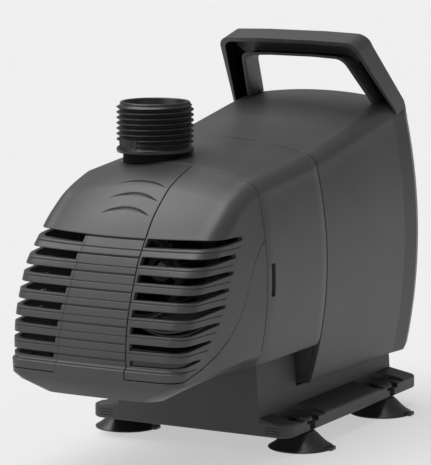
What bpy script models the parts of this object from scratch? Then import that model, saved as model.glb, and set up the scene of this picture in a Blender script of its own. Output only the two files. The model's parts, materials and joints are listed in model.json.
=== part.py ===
"""Submersible fountain pump: strainer hood, pump chamber, wet-running rotor,
canned motor, shells, carrying frame and a stand on four suction feet.

Millimetre constants below; objects are written in metres, +Z up, -Y intake side.
Origin: centre of the underside of the overall bounding box.
"""
import math

import bmesh
import bpy
import numpy as np

# ---------------------------------------------------------------- dimensions
MM = 0.001
Y_SHIFT = -9.1          # mm, puts the bounding-box centre on y = 0
GAP = 0.3               # play between touching pieces
WALL = 2.4              # shell thickness
Y_SEAM1 = -39.0         # hood / middle ring
Y_SEAM2 = 17.0          # middle ring / motor shell
AX_Z = 82.0             # rotor axis height
NOZ_X = -12.6           # outlet axis, tangential to the impeller
NOZ_Y = -28.2
NOZ_Z0 = 129.1          # underside of the outlet collar
NOZ_Z1 = 150.8          # outlet rim
INNER = 20.0            # place of the pump chamber and motor along the axis
THREAD_OD = 33.25       # G1 thread
THREAD_PITCH = 2.309
THREAD_ROOT = 30.3
NOZ_BORE = 26.8
NECK_OD = 20.8
NECK_ID = 17.0
CUP_X = 43.7
CUP_Y = (0.0, 80.4)
CUP_R = 14.3
FLANGE_X = 49.5
FLANGE_Y0 = -22.5
FLANGE_Y1 = 109.0
FLANGE_Z0 = 8.0
FLANGE_Z1 = 13.8
PED_X = 35.5
LEDGE_Z = 23.7
SHELF_Z = 41.2
SLOT_TOP1 = 100.4       # top edge of the first slot
SLOT_PITCH = 6.7
SLOT_X0 = (15.2, 15.7, 16.2, 16.7, 17.2, 17.7, 18.1, 18.6)   # inner ends of the slots
SLOT_Y_END = (-56.0, -61.5, -64.0, -67.3, -69.7, -73.5, -79.0, -86.5)
GROOVE = ((40, 16.9), (53, 16.1), (79, 14.7), (102, 13.5), (114, 12.4), (130, 11.2))   # edge of the centre panel (z, x)

# ---------------------------------------------------------------- set-up
for o in list(bpy.data.objects):
    bpy.data.objects.remove(o, do_unlink=True)
for m in list(bpy.data.meshes):
    bpy.data.meshes.remove(m)

PUMP = bpy.data.collections.new("fountain_pump")
CUT = bpy.data.collections.new("fountain_pump_cutters")
bpy.context.scene.collection.children.link(PUMP)
bpy.context.scene.collection.children.link(CUT)
CUT.hide_render = True

MATS = {}


def material(name, rgb, rough, metal):
    m = bpy.data.materials.new(name)
    m.use_nodes = True
    b = m.node_tree.nodes["Principled BSDF"]
    b.inputs["Base Color"].default_value = (*rgb, 1)
    b.inputs["Roughness"].default_value = rough
    b.inputs["Metallic"].default_value = metal
    m.diffuse_color = (*rgb, 1)
    MATS[name] = m
    return m


COLOURS = {
    "shell": ((0.075, 0.076, 0.08), 0.45, 0.0),
    "stand": ((0.06, 0.061, 0.065), 0.5, 0.0),
    "fitting": ((0.03, 0.03, 0.032), 0.4, 0.0),
    "chamber": ((0.05, 0.05, 0.053), 0.45, 0.0),
    "soft": ((0.02, 0.02, 0.021), 0.6, 0.0),
    "seal": ((0.015, 0.015, 0.015), 0.7, 0.0),
    "wheel": ((0.75, 0.75, 0.72), 0.4, 0.0),
    "magnet": ((0.12, 0.12, 0.13), 0.5, 0.2),
    "shaft": ((0.85, 0.84, 0.8), 0.25, 0.0),
    "steel": ((0.55, 0.55, 0.56), 0.35, 1.0),
    "winding": ((0.6, 0.25, 0.1), 0.4, 0.9),
}


def register(name, mesh, slot, origin=None):
    ob = bpy.data.objects.new(name, mesh)
    PUMP.objects.link(ob)
    rgb, rough, metal = COLOURS[slot]
    ob.data.materials.clear()
    ob.data.materials.append(material("mat_" + name, rgb, rough, metal))
    if origin is not None:
        set_origin(ob, origin)
    return ob


def set_origin(ob, p):
    """Moves the object's origin to p (mm, build frame) without moving the shape."""
    q = np.array([p[0], p[1] + Y_SHIFT, p[2]]) * MM
    n = len(ob.data.vertices)
    co = np.empty(n * 3)
    ob.data.vertices.foreach_get("co", co)
    co = co.reshape(-1, 3) - q
    ob.data.vertices.foreach_set("co", co.ravel())
    ob.location = q
    ob.data.update()


def mesh_of(name, verts, faces):
    v = np.array(verts, float)
    v[:, 1] += Y_SHIFT
    v *= MM
    me = bpy.data.meshes.new(name)
    me.from_pydata([tuple(p) for p in v], [], faces)
    bm = bmesh.new()
    bm.from_mesh(me)
    bmesh.ops.remove_doubles(bm, verts=bm.verts, dist=1e-6)
    bmesh.ops.dissolve_degenerate(bm, edges=bm.edges, dist=1e-7)
    bmesh.ops.recalc_face_normals(bm, faces=bm.faces)
    if bm.calc_volume(signed=True) < 0:
        bmesh.ops.reverse_faces(bm, faces=bm.faces)
    bm.to_mesh(me)
    bm.free()
    return me


def cutter(mesh):
    ob = bpy.data.objects.new("cut_" + mesh.name, mesh)
    CUT.objects.link(ob)
    ob.hide_render = True
    ob.display_type = "WIRE"
    return ob


def boolean(ob, mesh, op="DIFFERENCE"):
    """Applies an exact Boolean with a closed mesh; the cutter stays in its collection."""
    c = cutter(mesh)
    m = ob.modifiers.new("bool", "BOOLEAN")
    m.object = c
    m.operation = op
    m.solver = "EXACT"
    dg = bpy.context.evaluated_depsgraph_get()
    dg.update()
    new = bpy.data.meshes.new_from_object(ob.evaluated_get(dg))
    ob.modifiers.clear()
    mats = [s for s in ob.data.materials]
    ob.data = new
    ob.data.materials.clear()
    for s in mats:
        ob.data.materials.append(s)
    for p in ob.data.polygons:
        p.material_index = 0
    return ob


def tidy(ob):
    """Removes needless edges and triangulates, keeping every edge between exactly two faces."""
    for angle in (0.02, 0.004, None):
        bm = bmesh.new()
        bm.from_mesh(ob.data)
        bmesh.ops.remove_doubles(bm, verts=bm.verts, dist=2e-6 if angle else 1e-7)
        if angle:
            bmesh.ops.dissolve_limit(bm, angle_limit=angle, verts=bm.verts, edges=bm.edges)
        bmesh.ops.triangulate(bm, faces=bm.faces)
        if all(len(e.link_faces) == 2 for e in bm.edges) or angle is None:
            bm.to_mesh(ob.data)
            bm.free()
            return
        bm.free()


def joined(name, meshes):
    """One mesh of several separate closed cutters."""
    bm = bmesh.new()
    for me in meshes:
        bm.from_mesh(me)
    out = bpy.data.meshes.new(name)
    bm.to_mesh(out)
    bm.free()
    return out


# ---------------------------------------------------------------- primitives
def box_mesh(name, lo, hi, bevel=0.0, segs=2):
    bm = bmesh.new()
    bmesh.ops.create_cube(bm, size=1.0)
    lo = np.array(lo, float)
    hi = np.array(hi, float)
    for v in bm.verts:
        p = (np.array(v.co) + 0.5) * (hi - lo) + lo
        p[1] += Y_SHIFT
        v.co = p * MM
    if bevel:
        bmesh.ops.bevel(bm, geom=list(bm.edges), offset=bevel * MM, segments=segs, affect="EDGES", profile=0.5)
    me = bpy.data.meshes.new(name)
    bm.to_mesh(me)
    bm.free()
    return me


def lathe_mesh(name, profile, centre, axis="Z", steps=32):
    """Closed solid of revolution from a closed or axis-to-axis (r, h) profile, spun with a Screw modifier."""
    pr = [(max(r, 0.0), h) for r, h in profile]
    on_axis = pr[0][0] < 1e-9 and pr[-1][0] < 1e-9
    me = bpy.data.meshes.new(name + "_profile")
    edges = [(i, i + 1) for i in range(len(pr) - 1)]
    if not on_axis:
        edges.append((len(pr) - 1, 0))
    me.from_pydata([(r * MM, 0, h * MM) for r, h in pr], edges, [])
    ob = bpy.data.objects.new(name + "_profile", me)
    PUMP.objects.link(ob)
    s = ob.modifiers.new("screw", "SCREW")
    s.axis = "Z"
    s.angle = 2 * math.pi
    s.steps = s.render_steps = steps
    s.use_merge_vertices = True
    s.merge_threshold = 1e-6
    s.use_normal_calculate = True
    dg = bpy.context.evaluated_depsgraph_get()
    dg.update()
    new = bpy.data.meshes.new_from_object(ob.evaluated_get(dg))
    bpy.data.objects.remove(ob, do_unlink=True)
    bm = bmesh.new()
    bm.from_mesh(new)
    bmesh.ops.remove_doubles(bm, verts=bm.verts, dist=1e-6)
    bmesh.ops.recalc_face_normals(bm, faces=bm.faces)
    if bm.calc_volume(signed=True) < 0:
        bmesh.ops.reverse_faces(bm, faces=bm.faces)
    c = np.array([centre[0], centre[1] + Y_SHIFT, centre[2]]) * MM
    for v in bm.verts:
        x, y, z = v.co
        if axis == "Z":
            p = (x, y, z)
        elif axis == "Y":
            p = (x, z, -y)
        else:
            p = (z, x, y)
        v.co = (p[0] + c[0], p[1] + c[1], p[2] + c[2])
    bmesh.ops.recalc_face_normals(bm, faces=bm.faces)
    bm.to_mesh(new)
    bm.free()
    new.name = name
    return new


def ring_profile(r0, r1, h0, h1):
    return [(r0, h0), (r1, h0), (r1, h1), (r0, h1)]


def disc_profile(r, h0, h1):
    return [(0, h0), (r, h0), (r, h1), (0, h1)]


def torus_mesh(name, R, r, centre, axis="Z", steps=32, seg=8):
    pr = [(R + r * math.cos(a), r * math.sin(a)) for a in np.linspace(0, 2 * math.pi, seg, endpoint=False)]
    return lathe_mesh(name, pr, centre, axis, steps)


def prism_mesh(name, poly, axis, a0, a1):
    """Extrudes a closed 2-D polygon. axis X: poly is (y, z); Y: (x, z); Z: (x, y)."""
    n = len(poly)
    verts = []
    for a in (a0, a1):
        for p, q in poly:
            verts.append({"X": (a, p, q), "Y": (p, a, q), "Z": (p, q, a)}[axis])
    faces = [list(range(n)), list(range(n, 2 * n))]
    faces += [[i, (i + 1) % n, n + (i + 1) % n, n + i] for i in range(n)]
    return mesh_of(name, verts, faces)


# ---------------------------------------------------------------- body form
def smooth01(t):
    t = min(max(t, 0.0), 1.0)
    return t * t * (3 - 2 * t)


def z_top(y):
    return float(np.interp(y, (-60, -50, -39, -10, 17, 53, 94, 106), (119.6, 123.2, 126.5, 129.1, 131.5, 136.8, 143.2, 144.4)))


def crown(x, y):
    k = np.interp(y, (-39, 17, 94), (0.0042, 0.0040, 0.0026))
    return float(k) * x * x


def bottom_chamfer(y, z):
    """Inward step of the hood's underside edge, strongest at the lip."""
    zb = 35.7 + (y + 105.0) * 0.079
    return max(0.0, zb + 6.2 - z) * 1.75 * smooth01((-30.0 - y) / 22.0)


def half_width(y, z):
    w0 = float(np.interp(y, (-104, -92, -80, -60, -39, 17, 112), (41.6, 42.4, 43.2, 45.6, 47.7, 47.7, 48.0)))
    k = float(np.interp(y, (-104, -80, -39, 17, 112), (0.0010, 0.0018, 0.0032, 0.0029, 0.0019)))
    w = w0 - k * (z - 78.0) ** 2
    return w - bottom_chamfer(y, z)


def resample(pts, n):
    pts = np.array(pts, float)
    d = np.r_[0, np.cumsum(np.hypot(*np.diff(pts, axis=0).T))]
    t = np.linspace(0, d[-1], n)
    return np.stack([np.interp(t, d, pts[:, 0]), np.interp(t, d, pts[:, 1])], -1)


def catmull(pts, k=6):
    p = np.array(pts, float)
    p = np.vstack([2 * p[0] - p[1], p, 2 * p[-1] - p[-2]])
    out = []
    for i in range(1, len(p) - 2):
        for t in np.linspace(0, 1, k, endpoint=False):
            a, b, c, d = p[i - 1], p[i], p[i + 1], p[i + 2]
            out.append(0.5 * (2 * b + (c - a) * t + (2 * a - 5 * b + 4 * c - d) * t * t + (3 * b - a - 3 * c + d) * t ** 3))
    out.append(p[-2])
    return np.array(out)


HOOD_FRONT = [(-60.5, 119.0), (-66.2, 115.3), (-73.0, 110.6), (-77.9, 106.3), (-81.9, 101.8), (-86.3, 96.3), (-89.8, 91.2), (-93.2, 84.6),
              (-96.9, 77.1), (-100.2, 69.3), (-102.2, 61.4), (-103.2, 54.0), (-103.3, 50.6)]
HOOD_LIP = [(-105.4, 49.2), (-105.4, 43.5), (-104.4, 41.0), (-99.6, 35.9)]


def offset_line(line, t, inside):
    """Moves a (y, z) polyline by t towards the inside point."""
    line = np.array(line, float)
    tan = np.gradient(line, axis=0)
    tan /= np.linalg.norm(tan, axis=1)[:, None] + 1e-12
    nor = np.stack([-tan[:, 1], tan[:, 0]], -1)
    s = np.sign(((np.array(inside) - line) * nor).sum(1))
    return line + nor * s[:, None] * t


def hood_solid(name, t, y_s, nband=5, nfil=3, nside=3, ntop=5, nfront=12):
    """Closed solid of one end of the body: rows run from the seam plane round the end and back."""
    top = [(y, z_top(y)) for y in np.linspace(y_s, -54, ntop)]
    line = np.vstack([resample(catmull(top + HOOD_FRONT), ntop + nfront), np.array(HOOD_LIP)])
    z_low_seam = 41.0
    inside = (-45.0, 75.0)
    outer = line.copy()
    if t:
        line = offset_line(outer, t, inside)
        line[0] = (y_s, outer[0][1] - t)
    n = len(line)
    tan = np.gradient(line, axis=0)
    tan /= np.linalg.norm(tan, axis=1)[:, None]
    rows = []
    ring_z0 = None
    for i in range(n):
        y, z = line[i]
        # inward direction (dy, dz): vertical on the top near the seam, horizontal on the end face
        dy, dz = abs(tan[i][1]), -abs(tan[i][0])
        blend = smooth01((y_s - y) / 26.0)
        low = smooth01((56.0 - z) / 8.0)
        dy, dz = dy * blend, dz * blend - (1 - blend)
        dy, dz = dy * (1 - low) + low, dz * (1 - low)
        L = math.hypot(dy, dz)
        dy, dz = dy / L, dz / L
        end = smooth01((108.0 - z) / 22.0)
        kc = 0.0042 * (1 - end) + 0.0011 * end
        R = max(7.8 - t, 1.0)
        # solve the ring half width where the corner meets the side wall
        w = half_width(y, z) - t
        for _ in range(6):
            xb = w - R
            cr = kc * xb * xb
            ry, rz = y + dy * (cr + R), z + dz * (cr + R)
            w = half_width(ry, rz) - t
        row = []
        for k in range(nband + 1):
            x = xb * k / nband
            c = kc * x * x
            row.append((x, y + dy * c, z + dz * c))
        for k in range(1, nfil + 1):
            a = math.pi / 2 * k / nfil
            c = cr + R * (1 - math.cos(a))
            row.append((xb + R * math.sin(a), y + dy * c, z + dz * c))
        if ring_z0 is None:
            ring_z0 = rz
        rows.append([row, (ry, rz)])
    # side wall: from every ring point back to the seam plane
    zs = np.array([r[1][1] for r in rows])
    zr0 = ring_z0
    out = []
    for i, (row, (ry, rz)) in enumerate(rows):
        if i == 0:
            side = [(row[-1][0], y_s, rz)] * nside
        else:
            zt = zr0 - (zr0 - z_low_seam) * ((zr0 - rz) / (zr0 - rows[-1][1][1])) if rz < zr0 else zr0 - 0.02 * i
            side = []
            for k in range(1, nside + 1):
                g = k / nside
                yy = ry + (y_s - ry) * g
                z2 = rz + (zt - rz) * g
                side.append((half_width(yy, z2) - t, yy, z2))
        out.append(row + side)
    verts = []
    faces = []
    m = len(out[0])
    W = 2 * m - 1
    for r in out:
        left = [(-x, y, z) for x, y, z in r[:0:-1]]
        verts += left + r
    for i in range(n - 1):
        for j in range(W - 1):
            faces.append([i * W + j, i * W + j + 1, (i + 1) * W + j + 1, (i + 1) * W + j])
    # underside: bridge the last row left to right
    b = (n - 1) * W
    for j in range(m - 1):
        a0, a1 = b + j, b + j + 1
        c0, c1 = b + W - 1 - j, b + W - 2 - j
        if a1 == c1:
            faces.append([a0, a1, c0])
        else:
            faces.append([a0, a1, c1, c0])
    # seam plane cap: first row and the ends of all rows form one planar loop
    loop = [j for j in range(0, W)]
    right = [i * W + W - 1 for i in range(1, n)]
    leftc = [i * W for i in range(n - 1, 0, -1)]
    faces.append(loop + right + leftc)
    return mesh_of(name, verts, faces)


def section(y, t, zb, nband=4, nfil=3, nside=5):
    R = max(7.5 - t, 1.0)
    zt = z_top(y) - t
    k = float(np.interp(y, (-39, 17, 94), (0.0042, 0.0040, 0.0026)))
    w = 46.0
    for _ in range(6):
        xb = w - R
        cr = k * xb * xb
        rz = zt - cr - R
        w = half_width(y, rz) - t
    pts = [(xb * i / nband, zt - k * (xb * i / nband) ** 2) for i in range(nband + 1)]
    pts += [(xb + R * math.sin(math.pi / 2 * i / nfil), zt - cr - R * (1 - math.cos(math.pi / 2 * i / nfil))) for i in range(1, nfil + 1)]
    rb = 3.2
    for i in range(1, nside + 1):
        z = rz + (zb + rb - rz) * i / nside
        pts.append((half_width(y, z) - t, z))
    x1 = half_width(y, zb + rb) - t
    pts += [(x1 - rb * 0.29, zb + rb * 0.29), (x1 - rb, zb)]
    full = [(x, y, z) for x, z in pts] + [(-x, y, z) for x, z in pts[:0:-1]]
    return full


Y_REAR = 114.6          # flat rear face


def rear_solid(name, t, y_s, nsta=3, nfil=3, R=9.0):
    """Closed solid of the motor end: sections swept back to the flat rear face, with a rounded rim."""
    zb = 24.3 + t
    R = max(R - t, 1.0)
    rings = []
    for i in range(nsta + 1):
        f = i / nsta
        base = section(y_s + (96 - y_s) * f, t, zb)
        ring = []
        for k in range(len(base)):
            p = base[k]
            for _ in range(3):
                y = y_s + (Y_REAR - t - R - y_s) * f
                p = section(y, t, zb)[k] if f > 0 else (p[0], y_s, p[2])
            ring.append((p[0], y, p[2]) if f > 0 else p)
        rings.append(ring)
    last = rings[-1]
    n = len(last)
    for j in range(1, nfil + 1):
        a = math.pi / 2 * j / nfil
        d = R * (1 - math.cos(a))
        ring = []
        for x, y, z in last:
            x2, z2 = x * (1 - d / 47.0), 80.0 + (z - 80.0) * (1 - d / 58.0)
            ring.append((x2, Y_REAR - t - R + R * math.sin(a), z2))
        rings.append(ring)
    verts = [p for r in rings for p in r]
    faces = [list(range(n))]
    for i in range(len(rings) - 1):
        for j in range(n):
            faces.append([i * n + j, i * n + (j + 1) % n, (i + 1) * n + (j + 1) % n, (i + 1) * n + j])
    b = (len(rings) - 1) * n
    half = (n - 1) // 2
    for j in range(half):
        r0, r1 = b + j, b + j + 1
        l0, l1 = b + (n - j) % n, b + n - 1 - j
        faces.append([r0, r1, l1] if l0 == r0 else [r0, r1, l1, l0])
    return mesh_of(name, verts, faces)


def loft_mesh(name, rings):
    n = len(rings[0])
    verts = [p for r in rings for p in r]
    faces = [list(range(n)), list(range((len(rings) - 1) * n, len(rings) * n))]
    for i in range(len(rings) - 1):
        for j in range(n):
            faces.append([i * n + j, i * n + (j + 1) % n, (i + 1) * n + (j + 1) % n, (i + 1) * n + j])
    return mesh_of(name, verts, faces)


# line (y, z) under the louvre inserts, seen from the side
INSERT_LINE = [(-130, 45.4), (-99, 45.6), (-94, 46.6), (-84.6, 48.7), (-74.4, 52.6), (-65.9, 58.2), (-59.8, 64.8), (-55.4, 72.6),
               (-52.0, 80.8), (-48.0, 88.0), (-43.5, 93.5), (-34, 100)]

# ---------------------------------------------------------------- shells
hood = register("front_hood", hood_solid("front_hood", 0.0, Y_SEAM1 - GAP / 2), "shell")
boolean(hood, hood_solid("hood_inner", WALL, Y_SEAM1 + 6))
# underside opening of the hood, so the strainer space is open to the stand side
boolean(hood, box_mesh("hood_floor_opening", (-27, -88, 25), (27, -30, 60)))
def zone(name, side, grow):
    """Closed solid outboard of the flared panel edge and above the insert line."""
    low = [(y, z + grow) for y, z in INSERT_LINE]
    rings = []
    for zz, gx in GROOVE:
        rings.append([(side * (gx + grow), -130, zz), (side * 70, -130, zz), (side * 70, -34, zz), (side * (gx + grow), -34, zz)])
    rings.insert(0, [(x, y, 20) for x, y, z in rings[0]])
    rings.append([(x, y, 150) for x, y, z in rings[-1]])
    ob = cutter(loft_mesh(name, rings))
    boolean(ob, prism_mesh(name + "_above", low + [(-34, 160), (-130, 160)], "X", -80, 80), "INTERSECT")
    return ob.data


for s, side in ((-1, "left"), (1, "right")):
    ins = register("grille_" + side, hood.data.copy(), "shell")
    boolean(ins, zone("keep_" + side, s, GAP), "INTERSECT")
    boolean(hood, zone("window_" + side, s, 0.0))
    combs = []
    for i in range(8):
        zt = SLOT_TOP1 - SLOT_PITCH * i
        h = 3.3 - 0.08 * i
        sx = (SLOT_X0[i], 70) if s > 0 else (-70, -SLOT_X0[i])
        combs.append(box_mesh("slot", (sx[0], -130, zt - h), (sx[1], SLOT_Y_END[i], zt)))
    boolean(ins, joined("slots_" + side, combs))
    tidy(ins)
tidy(hood)

mid = register("middle_ring", loft_mesh("middle_ring", [section(y, 0, SHELF_Z + 0.6) for y in (Y_SEAM1 + GAP / 2, -20, 0, Y_SEAM2 - GAP / 2)]), "shell")
boolean(mid, loft_mesh("middle_inner", [section(y, WALL, SHELF_Z + 0.6 + WALL) for y in (Y_SEAM1 - 5, -20, 0, Y_SEAM2 + 5)]))
for s in (-1, 1):
    a, b = sorted((s * 40, s * 60))
    boolean(mid, box_mesh("latch_slit_%d" % s, (a, -35.2, 71.8), (b, -31.6, 85.8)))
boolean(mid, lathe_mesh("neck_hole", disc_profile(NECK_OD / 2 + GAP, 110, 140), (NOZ_X, NOZ_Y, 0), "Z", 28))
tidy(mid)

shell_rear = rear_solid("motor_shell", 0.0, Y_SEAM2 + GAP / 2)
inner_rear = rear_solid("motor_shell_inner", WALL, Y_SEAM2 - 6)
rear = register("motor_shell", shell_rear, "shell")
boolean(rear, inner_rear)
# closed front wall of the motor end, below the middle ring
web = cutter(rear_solid("web", 1.2, Y_SEAM2 + GAP / 2))
boolean(web, box_mesh("web_zone", (-80, Y_SEAM2 + GAP / 2 + 0.2, 20), (80, Y_SEAM2 + GAP / 2 + 2.6, 43.0)), "INTERSECT")
boolean(rear, web.data.copy(), "UNION")
# back plate in an opening of the rear wall
plate_out = [(-33, 36), (33, 36), (36, 40), (36, 122), (33, 126), (-33, 126), (-36, 122), (-36, 40)]
boolean(rear, prism_mesh("cover_opening", plate_out, "Y", 100, 130))
cover = register("rear_cover", prism_mesh("rear_cover", [(x * (1 - GAP / 36), 81 + (z - 81) * (1 - GAP / 45)) for x, z in plate_out], "Y", 111.6, 114.2), "shell")
for sx in (-1, 1):
    for z0, z1 in ((41, 50), (112, 121)):
        a, b = sorted((sx * 30.0, sx * 39.5))
        boolean(rear, box_mesh("cover_lug", (a, 104.2, z0), (b, 111.3, z1)), "UNION")
        a, b = sorted((sx * 36.4, sx * 39.2))
        boolean(rear, box_mesh("lug_root", (a, 108.0, z0 + 0.5), (b, 113.4, z1 - 0.5)), "UNION")

# carrying handle: a leaning channel open to the front, its feet on the rear shoulders of the shell
def lean(z):
    return 95.8 - 0.88 * (z - 139.0)


def leaning_frame(name, outer, inner, d0, d1):
    n = len(outer)
    verts = []
    for line, rise in ((outer, 0.25), (inner, 0.0)):
        for d in (d0, d1):
            verts += [(x, lean(z) + d, z + rise * max(d, 0.0) * smooth01((z - 160.0) / 8.0)) for x, z in line]
    faces = []
    for i in range(n - 1):
        o0, o1, p0, p1 = i, i + 1, n + i, n + i + 1
        a0, a1, b0, b1 = 2 * n + i, 2 * n + i + 1, 3 * n + i, 3 * n + i + 1
        faces += [[o0, o1, p1, p0], [a0, a1, b1, b0], [o0, o1, a1, a0], [p0, p1, b1, b0]]
    for i in (0, n - 1):
        faces.append([i, n + i, 3 * n + i, 2 * n + i])
    return mesh_of(name, verts, faces)


def round_frame(hx0, z0, hx1, z1, r, n=6):
    """Open outline (x, z) of a tapering hoop: half width hx0 at z0, hx1 at z1, corner radius r."""
    pts = [(hx0, z0)]
    cx, cz = hx1 - r, z1 - r
    slope = math.atan2(hx0 - hx1, z1 - z0)
    for k in range(n + 1):
        a = slope + (math.pi / 2 - slope) * k / n
        pts.append((cx + r * math.cos(a), cz + r * math.sin(a)))
    pts += [(hx1 * 0.4, z1 + 0.5)]
    return pts + [(-x, z) for x, z in pts[::-1]]


handle = register("carry_handle", leaning_frame("carry_handle", round_frame(44.6, 126.0, 35.8, 170.2, 6.0), round_frame(35.3, 126.0, 26.2, 162.0, 5.0), 0.0, 13.0), "shell")
boolean(handle, leaning_frame("handle_channel", round_frame(40.6, 137.0, 33.4, 167.8, 5.0), round_frame(34.4, 137.0, 27.6, 163.4, 5.0), -1.0, 10.5))
boolean(handle, box_mesh("handle_floor", (-80, 60, 100), (80, 140, 131.5)))
boolean(handle, prism_mesh("handle_back", [(107.4, 141.6), (110.6, 129.0), (140.0, 129.0), (140.0, 141.6)], "X", -80, 80))
boolean(handle, rear_solid("handle_seat", -GAP - 0.1, Y_SEAM2 + GAP / 2))
bm = bmesh.new()
bm.from_mesh(handle.data)
bmesh.ops.symmetrize(bm, input=bm.verts[:] + bm.edges[:] + bm.faces[:], direction="X", dist=1e-6)
bm.to_mesh(handle.data)
bm.free()
tidy(handle)

# ---------------------------------------------------------------- outlet
crests = 8
z_thr0 = NOZ_Z0 + 3.2
prof = [(THREAD_OD / 2, NOZ_Z0), (THREAD_OD / 2, z_thr0 - 0.3), (THREAD_ROOT / 2, z_thr0)]
for i in range(crests - 1):
    zc = z_thr0 + 1.1 + i * THREAD_PITCH
    prof += [(THREAD_OD / 2, zc), (THREAD_ROOT / 2, zc + THREAD_PITCH / 2)]
prof = prof[:-1] + [(THREAD_ROOT / 2, NOZ_Z1 - 0.5), (THREAD_ROOT / 2 - 0.5, NOZ_Z1), (NOZ_BORE / 2, NOZ_Z1), (NOZ_BORE / 2, NOZ_Z0 + 4.4),
                      (6.6, NOZ_Z0 + 2.6), (6.6, 117.0), (NECK_ID / 2 - GAP, 117.0), (NECK_ID / 2 - GAP, NOZ_Z0)]
nozzle = register("outlet_nozzle", lathe_mesh("outlet_nozzle", prof, (NOZ_X, NOZ_Y, 0), "Z", 20), "fitting")
register("outlet_seal", torus_mesh("outlet_seal", 9.5, 0.6, (NOZ_X, NOZ_Y, NOZ_Z0 - 0.9), "Z", 20, 5), "seal")

# ---------------------------------------------------------------- pump chamber
chamber = register("pump_chamber", lathe_mesh("pump_chamber", disc_profile(29.0, -60.0 + INNER, -38.0 + INNER), (0, 0, AX_Z), "Y", 40), "chamber")
boolean(chamber, lathe_mesh("neck", disc_profile(NECK_OD / 2, AX_Z, NOZ_Z0 - 1.8), (NOZ_X, NOZ_Y, 0), "Z", 32), "UNION")
boolean(chamber, lathe_mesh("chamber_clear", disc_profile(25.8, -70.0 + INNER, -40.5 + INNER), (0, 0, AX_Z), "Y", 36))
boolean(chamber, lathe_mesh("neck_bore", disc_profile(NECK_ID / 2, AX_Z + 4, 140), (NOZ_X, NOZ_Y, 0), "Z", 30))
boolean(chamber, lathe_mesh("shaft_opening", disc_profile(8.5, -50 + INNER, -30 + INNER), (0, 0, AX_Z), "Y", 24))
tidy(chamber)
sp = [(17.2, -84.0), (19.6, -84.0)]
for i in range(3):
    y0 = -82.0 + i * 6.2
    sp += [(20.95, y0), (20.95, y0 + 2.2), (19.6, y0 + 2.9)]
sp += [(19.6, -63.9), (28.6, -63.9), (28.6, -60.0 - GAP), (17.2, -60.0 - GAP)]
intake = register("intake_cover", lathe_mesh("intake_cover", [(r, h + INNER) for r, h in sp], (0, 0, AX_Z), "Y", 20), "chamber")
for k in range(3):
    a = math.pi / 2 + k * 2 * math.pi / 3
    c, s_ = math.cos(a), math.sin(a)
    w = 1.1
    poly = [(c * 4.8 - s_ * w, AX_Z + s_ * 4.8 + c * w), (c * 4.8 + s_ * w, AX_Z + s_ * 4.8 - c * w),
            (c * 18.2 + s_ * w, AX_Z + s_ * 18.2 - c * w), (c * 18.2 - s_ * w, AX_Z + s_ * 18.2 + c * w)]
    boolean(intake, prism_mesh("spoke%d" % k, poly, "Y", -65.6 + INNER, -62.0 + INNER), "UNION")
boolean(intake, lathe_mesh("spider_hub", ring_profile(3.2, 6.6, -66.4 + INNER, -61.0 + INNER), (0, 0, AX_Z), "Y", 20), "UNION")
tidy(intake)
register("chamber_seal", torus_mesh("chamber_seal", 30.3, 0.7, (0, -59.75 + INNER, AX_Z), "Y", 22, 5), "seal")

# ---------------------------------------------------------------- rotor
impeller = register("impeller", lathe_mesh("impeller", [(2.9, -57.5), (6.0, -57.5), (7.0, -46.5), (24, -45.5), (24, -43.4), (7.2, -43.0), (7.2, -33.4), (2.9, -33.4)], (0, INNER, AX_Z), "Y", 30), "wheel")
for k in range(6):
    a0 = k * math.pi / 3
    line = []
    for u in np.linspace(0, 1, 5):
        r = 5.2 + u * 18.4
        a = a0 + 0.75 * u
        line.append((r, a))
    poly = [(r * math.cos(a - 0.9 / r), AX_Z + r * math.sin(a - 0.9 / r)) for r, a in line]
    poly += [(r * math.cos(a + 0.9 / r), AX_Z + r * math.sin(a + 0.9 / r)) for r, a in line[::-1]]
    boolean(impeller, prism_mesh("vane%d" % k, poly, "Y", -56.5 + INNER, -44.6 + INNER), "UNION")
tidy(impeller)
set_origin(impeller, (0, -50 + INNER, AX_Z))
magnet = register("rotor_magnet", lathe_mesh("rotor_magnet", [(2.9, -32.8), (12.6, -32.8), (13.4, -32.0), (13.4, 0.2), (12.6, 1.0), (2.9, 1.0)], (0, INNER, AX_Z), "Y", 30), "magnet")
set_origin(magnet, (0, -16 + INNER, AX_Z))
register("rotor_shaft", lathe_mesh("rotor_shaft", [(0, -65.4), (2.1, -65.4), (2.5, -65.0), (2.5, 5.6), (2.1, 6.0), (0, 6.0)], (0, INNER, AX_Z), "Y", 12), "shaft")
register("front_bearing", lathe_mesh("front_bearing", ring_profile(2.8, 5.2, -60.7, -58.4), (0, INNER, AX_Z), "Y", 12), "shaft")
register("rear_bearing", lathe_mesh("rear_bearing", ring_profile(2.8, 5.0, 2.0, 6.0), (0, INNER, AX_Z), "Y", 12), "shaft")

# ---------------------------------------------------------------- motor
register("rotor_can", lathe_mesh("rotor_can", [(14.6, -37.4), (36.6, -37.4), (36.6, -35.0), (15.8, -35.0), (15.8, 8.2), (0, 8.2), (0, 6.6), (14.6, 6.6)], (0, INNER, AX_Z), "Y", 24), "chamber")
stator = register("stator_core", lathe_mesh("stator_core", ring_profile(16.4, 34.6, -26.0, -2.0), (0, INNER, AX_Z), "Y", 24), "steel")
for k in range(6):
    a = k * math.pi / 3
    c, s_ = math.cos(a), math.sin(a)
    boolean(stator, lathe_mesh("winding_slot%d" % k, disc_profile(3.6, -30, 4), (c * 25.0, INNER, AX_Z + s_ * 25.0), "Y", 10))
tidy(stator)
register("winding_front", lathe_mesh("winding_front", [(19.0, -33.2), (29.5, -33.2), (31.5, -31.2), (31.5, -28.4), (29.5, -26.4), (19.0, -26.4), (17.4, -28.4), (17.4, -31.2)], (0, INNER, AX_Z), "Y", 18), "winding")
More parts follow.
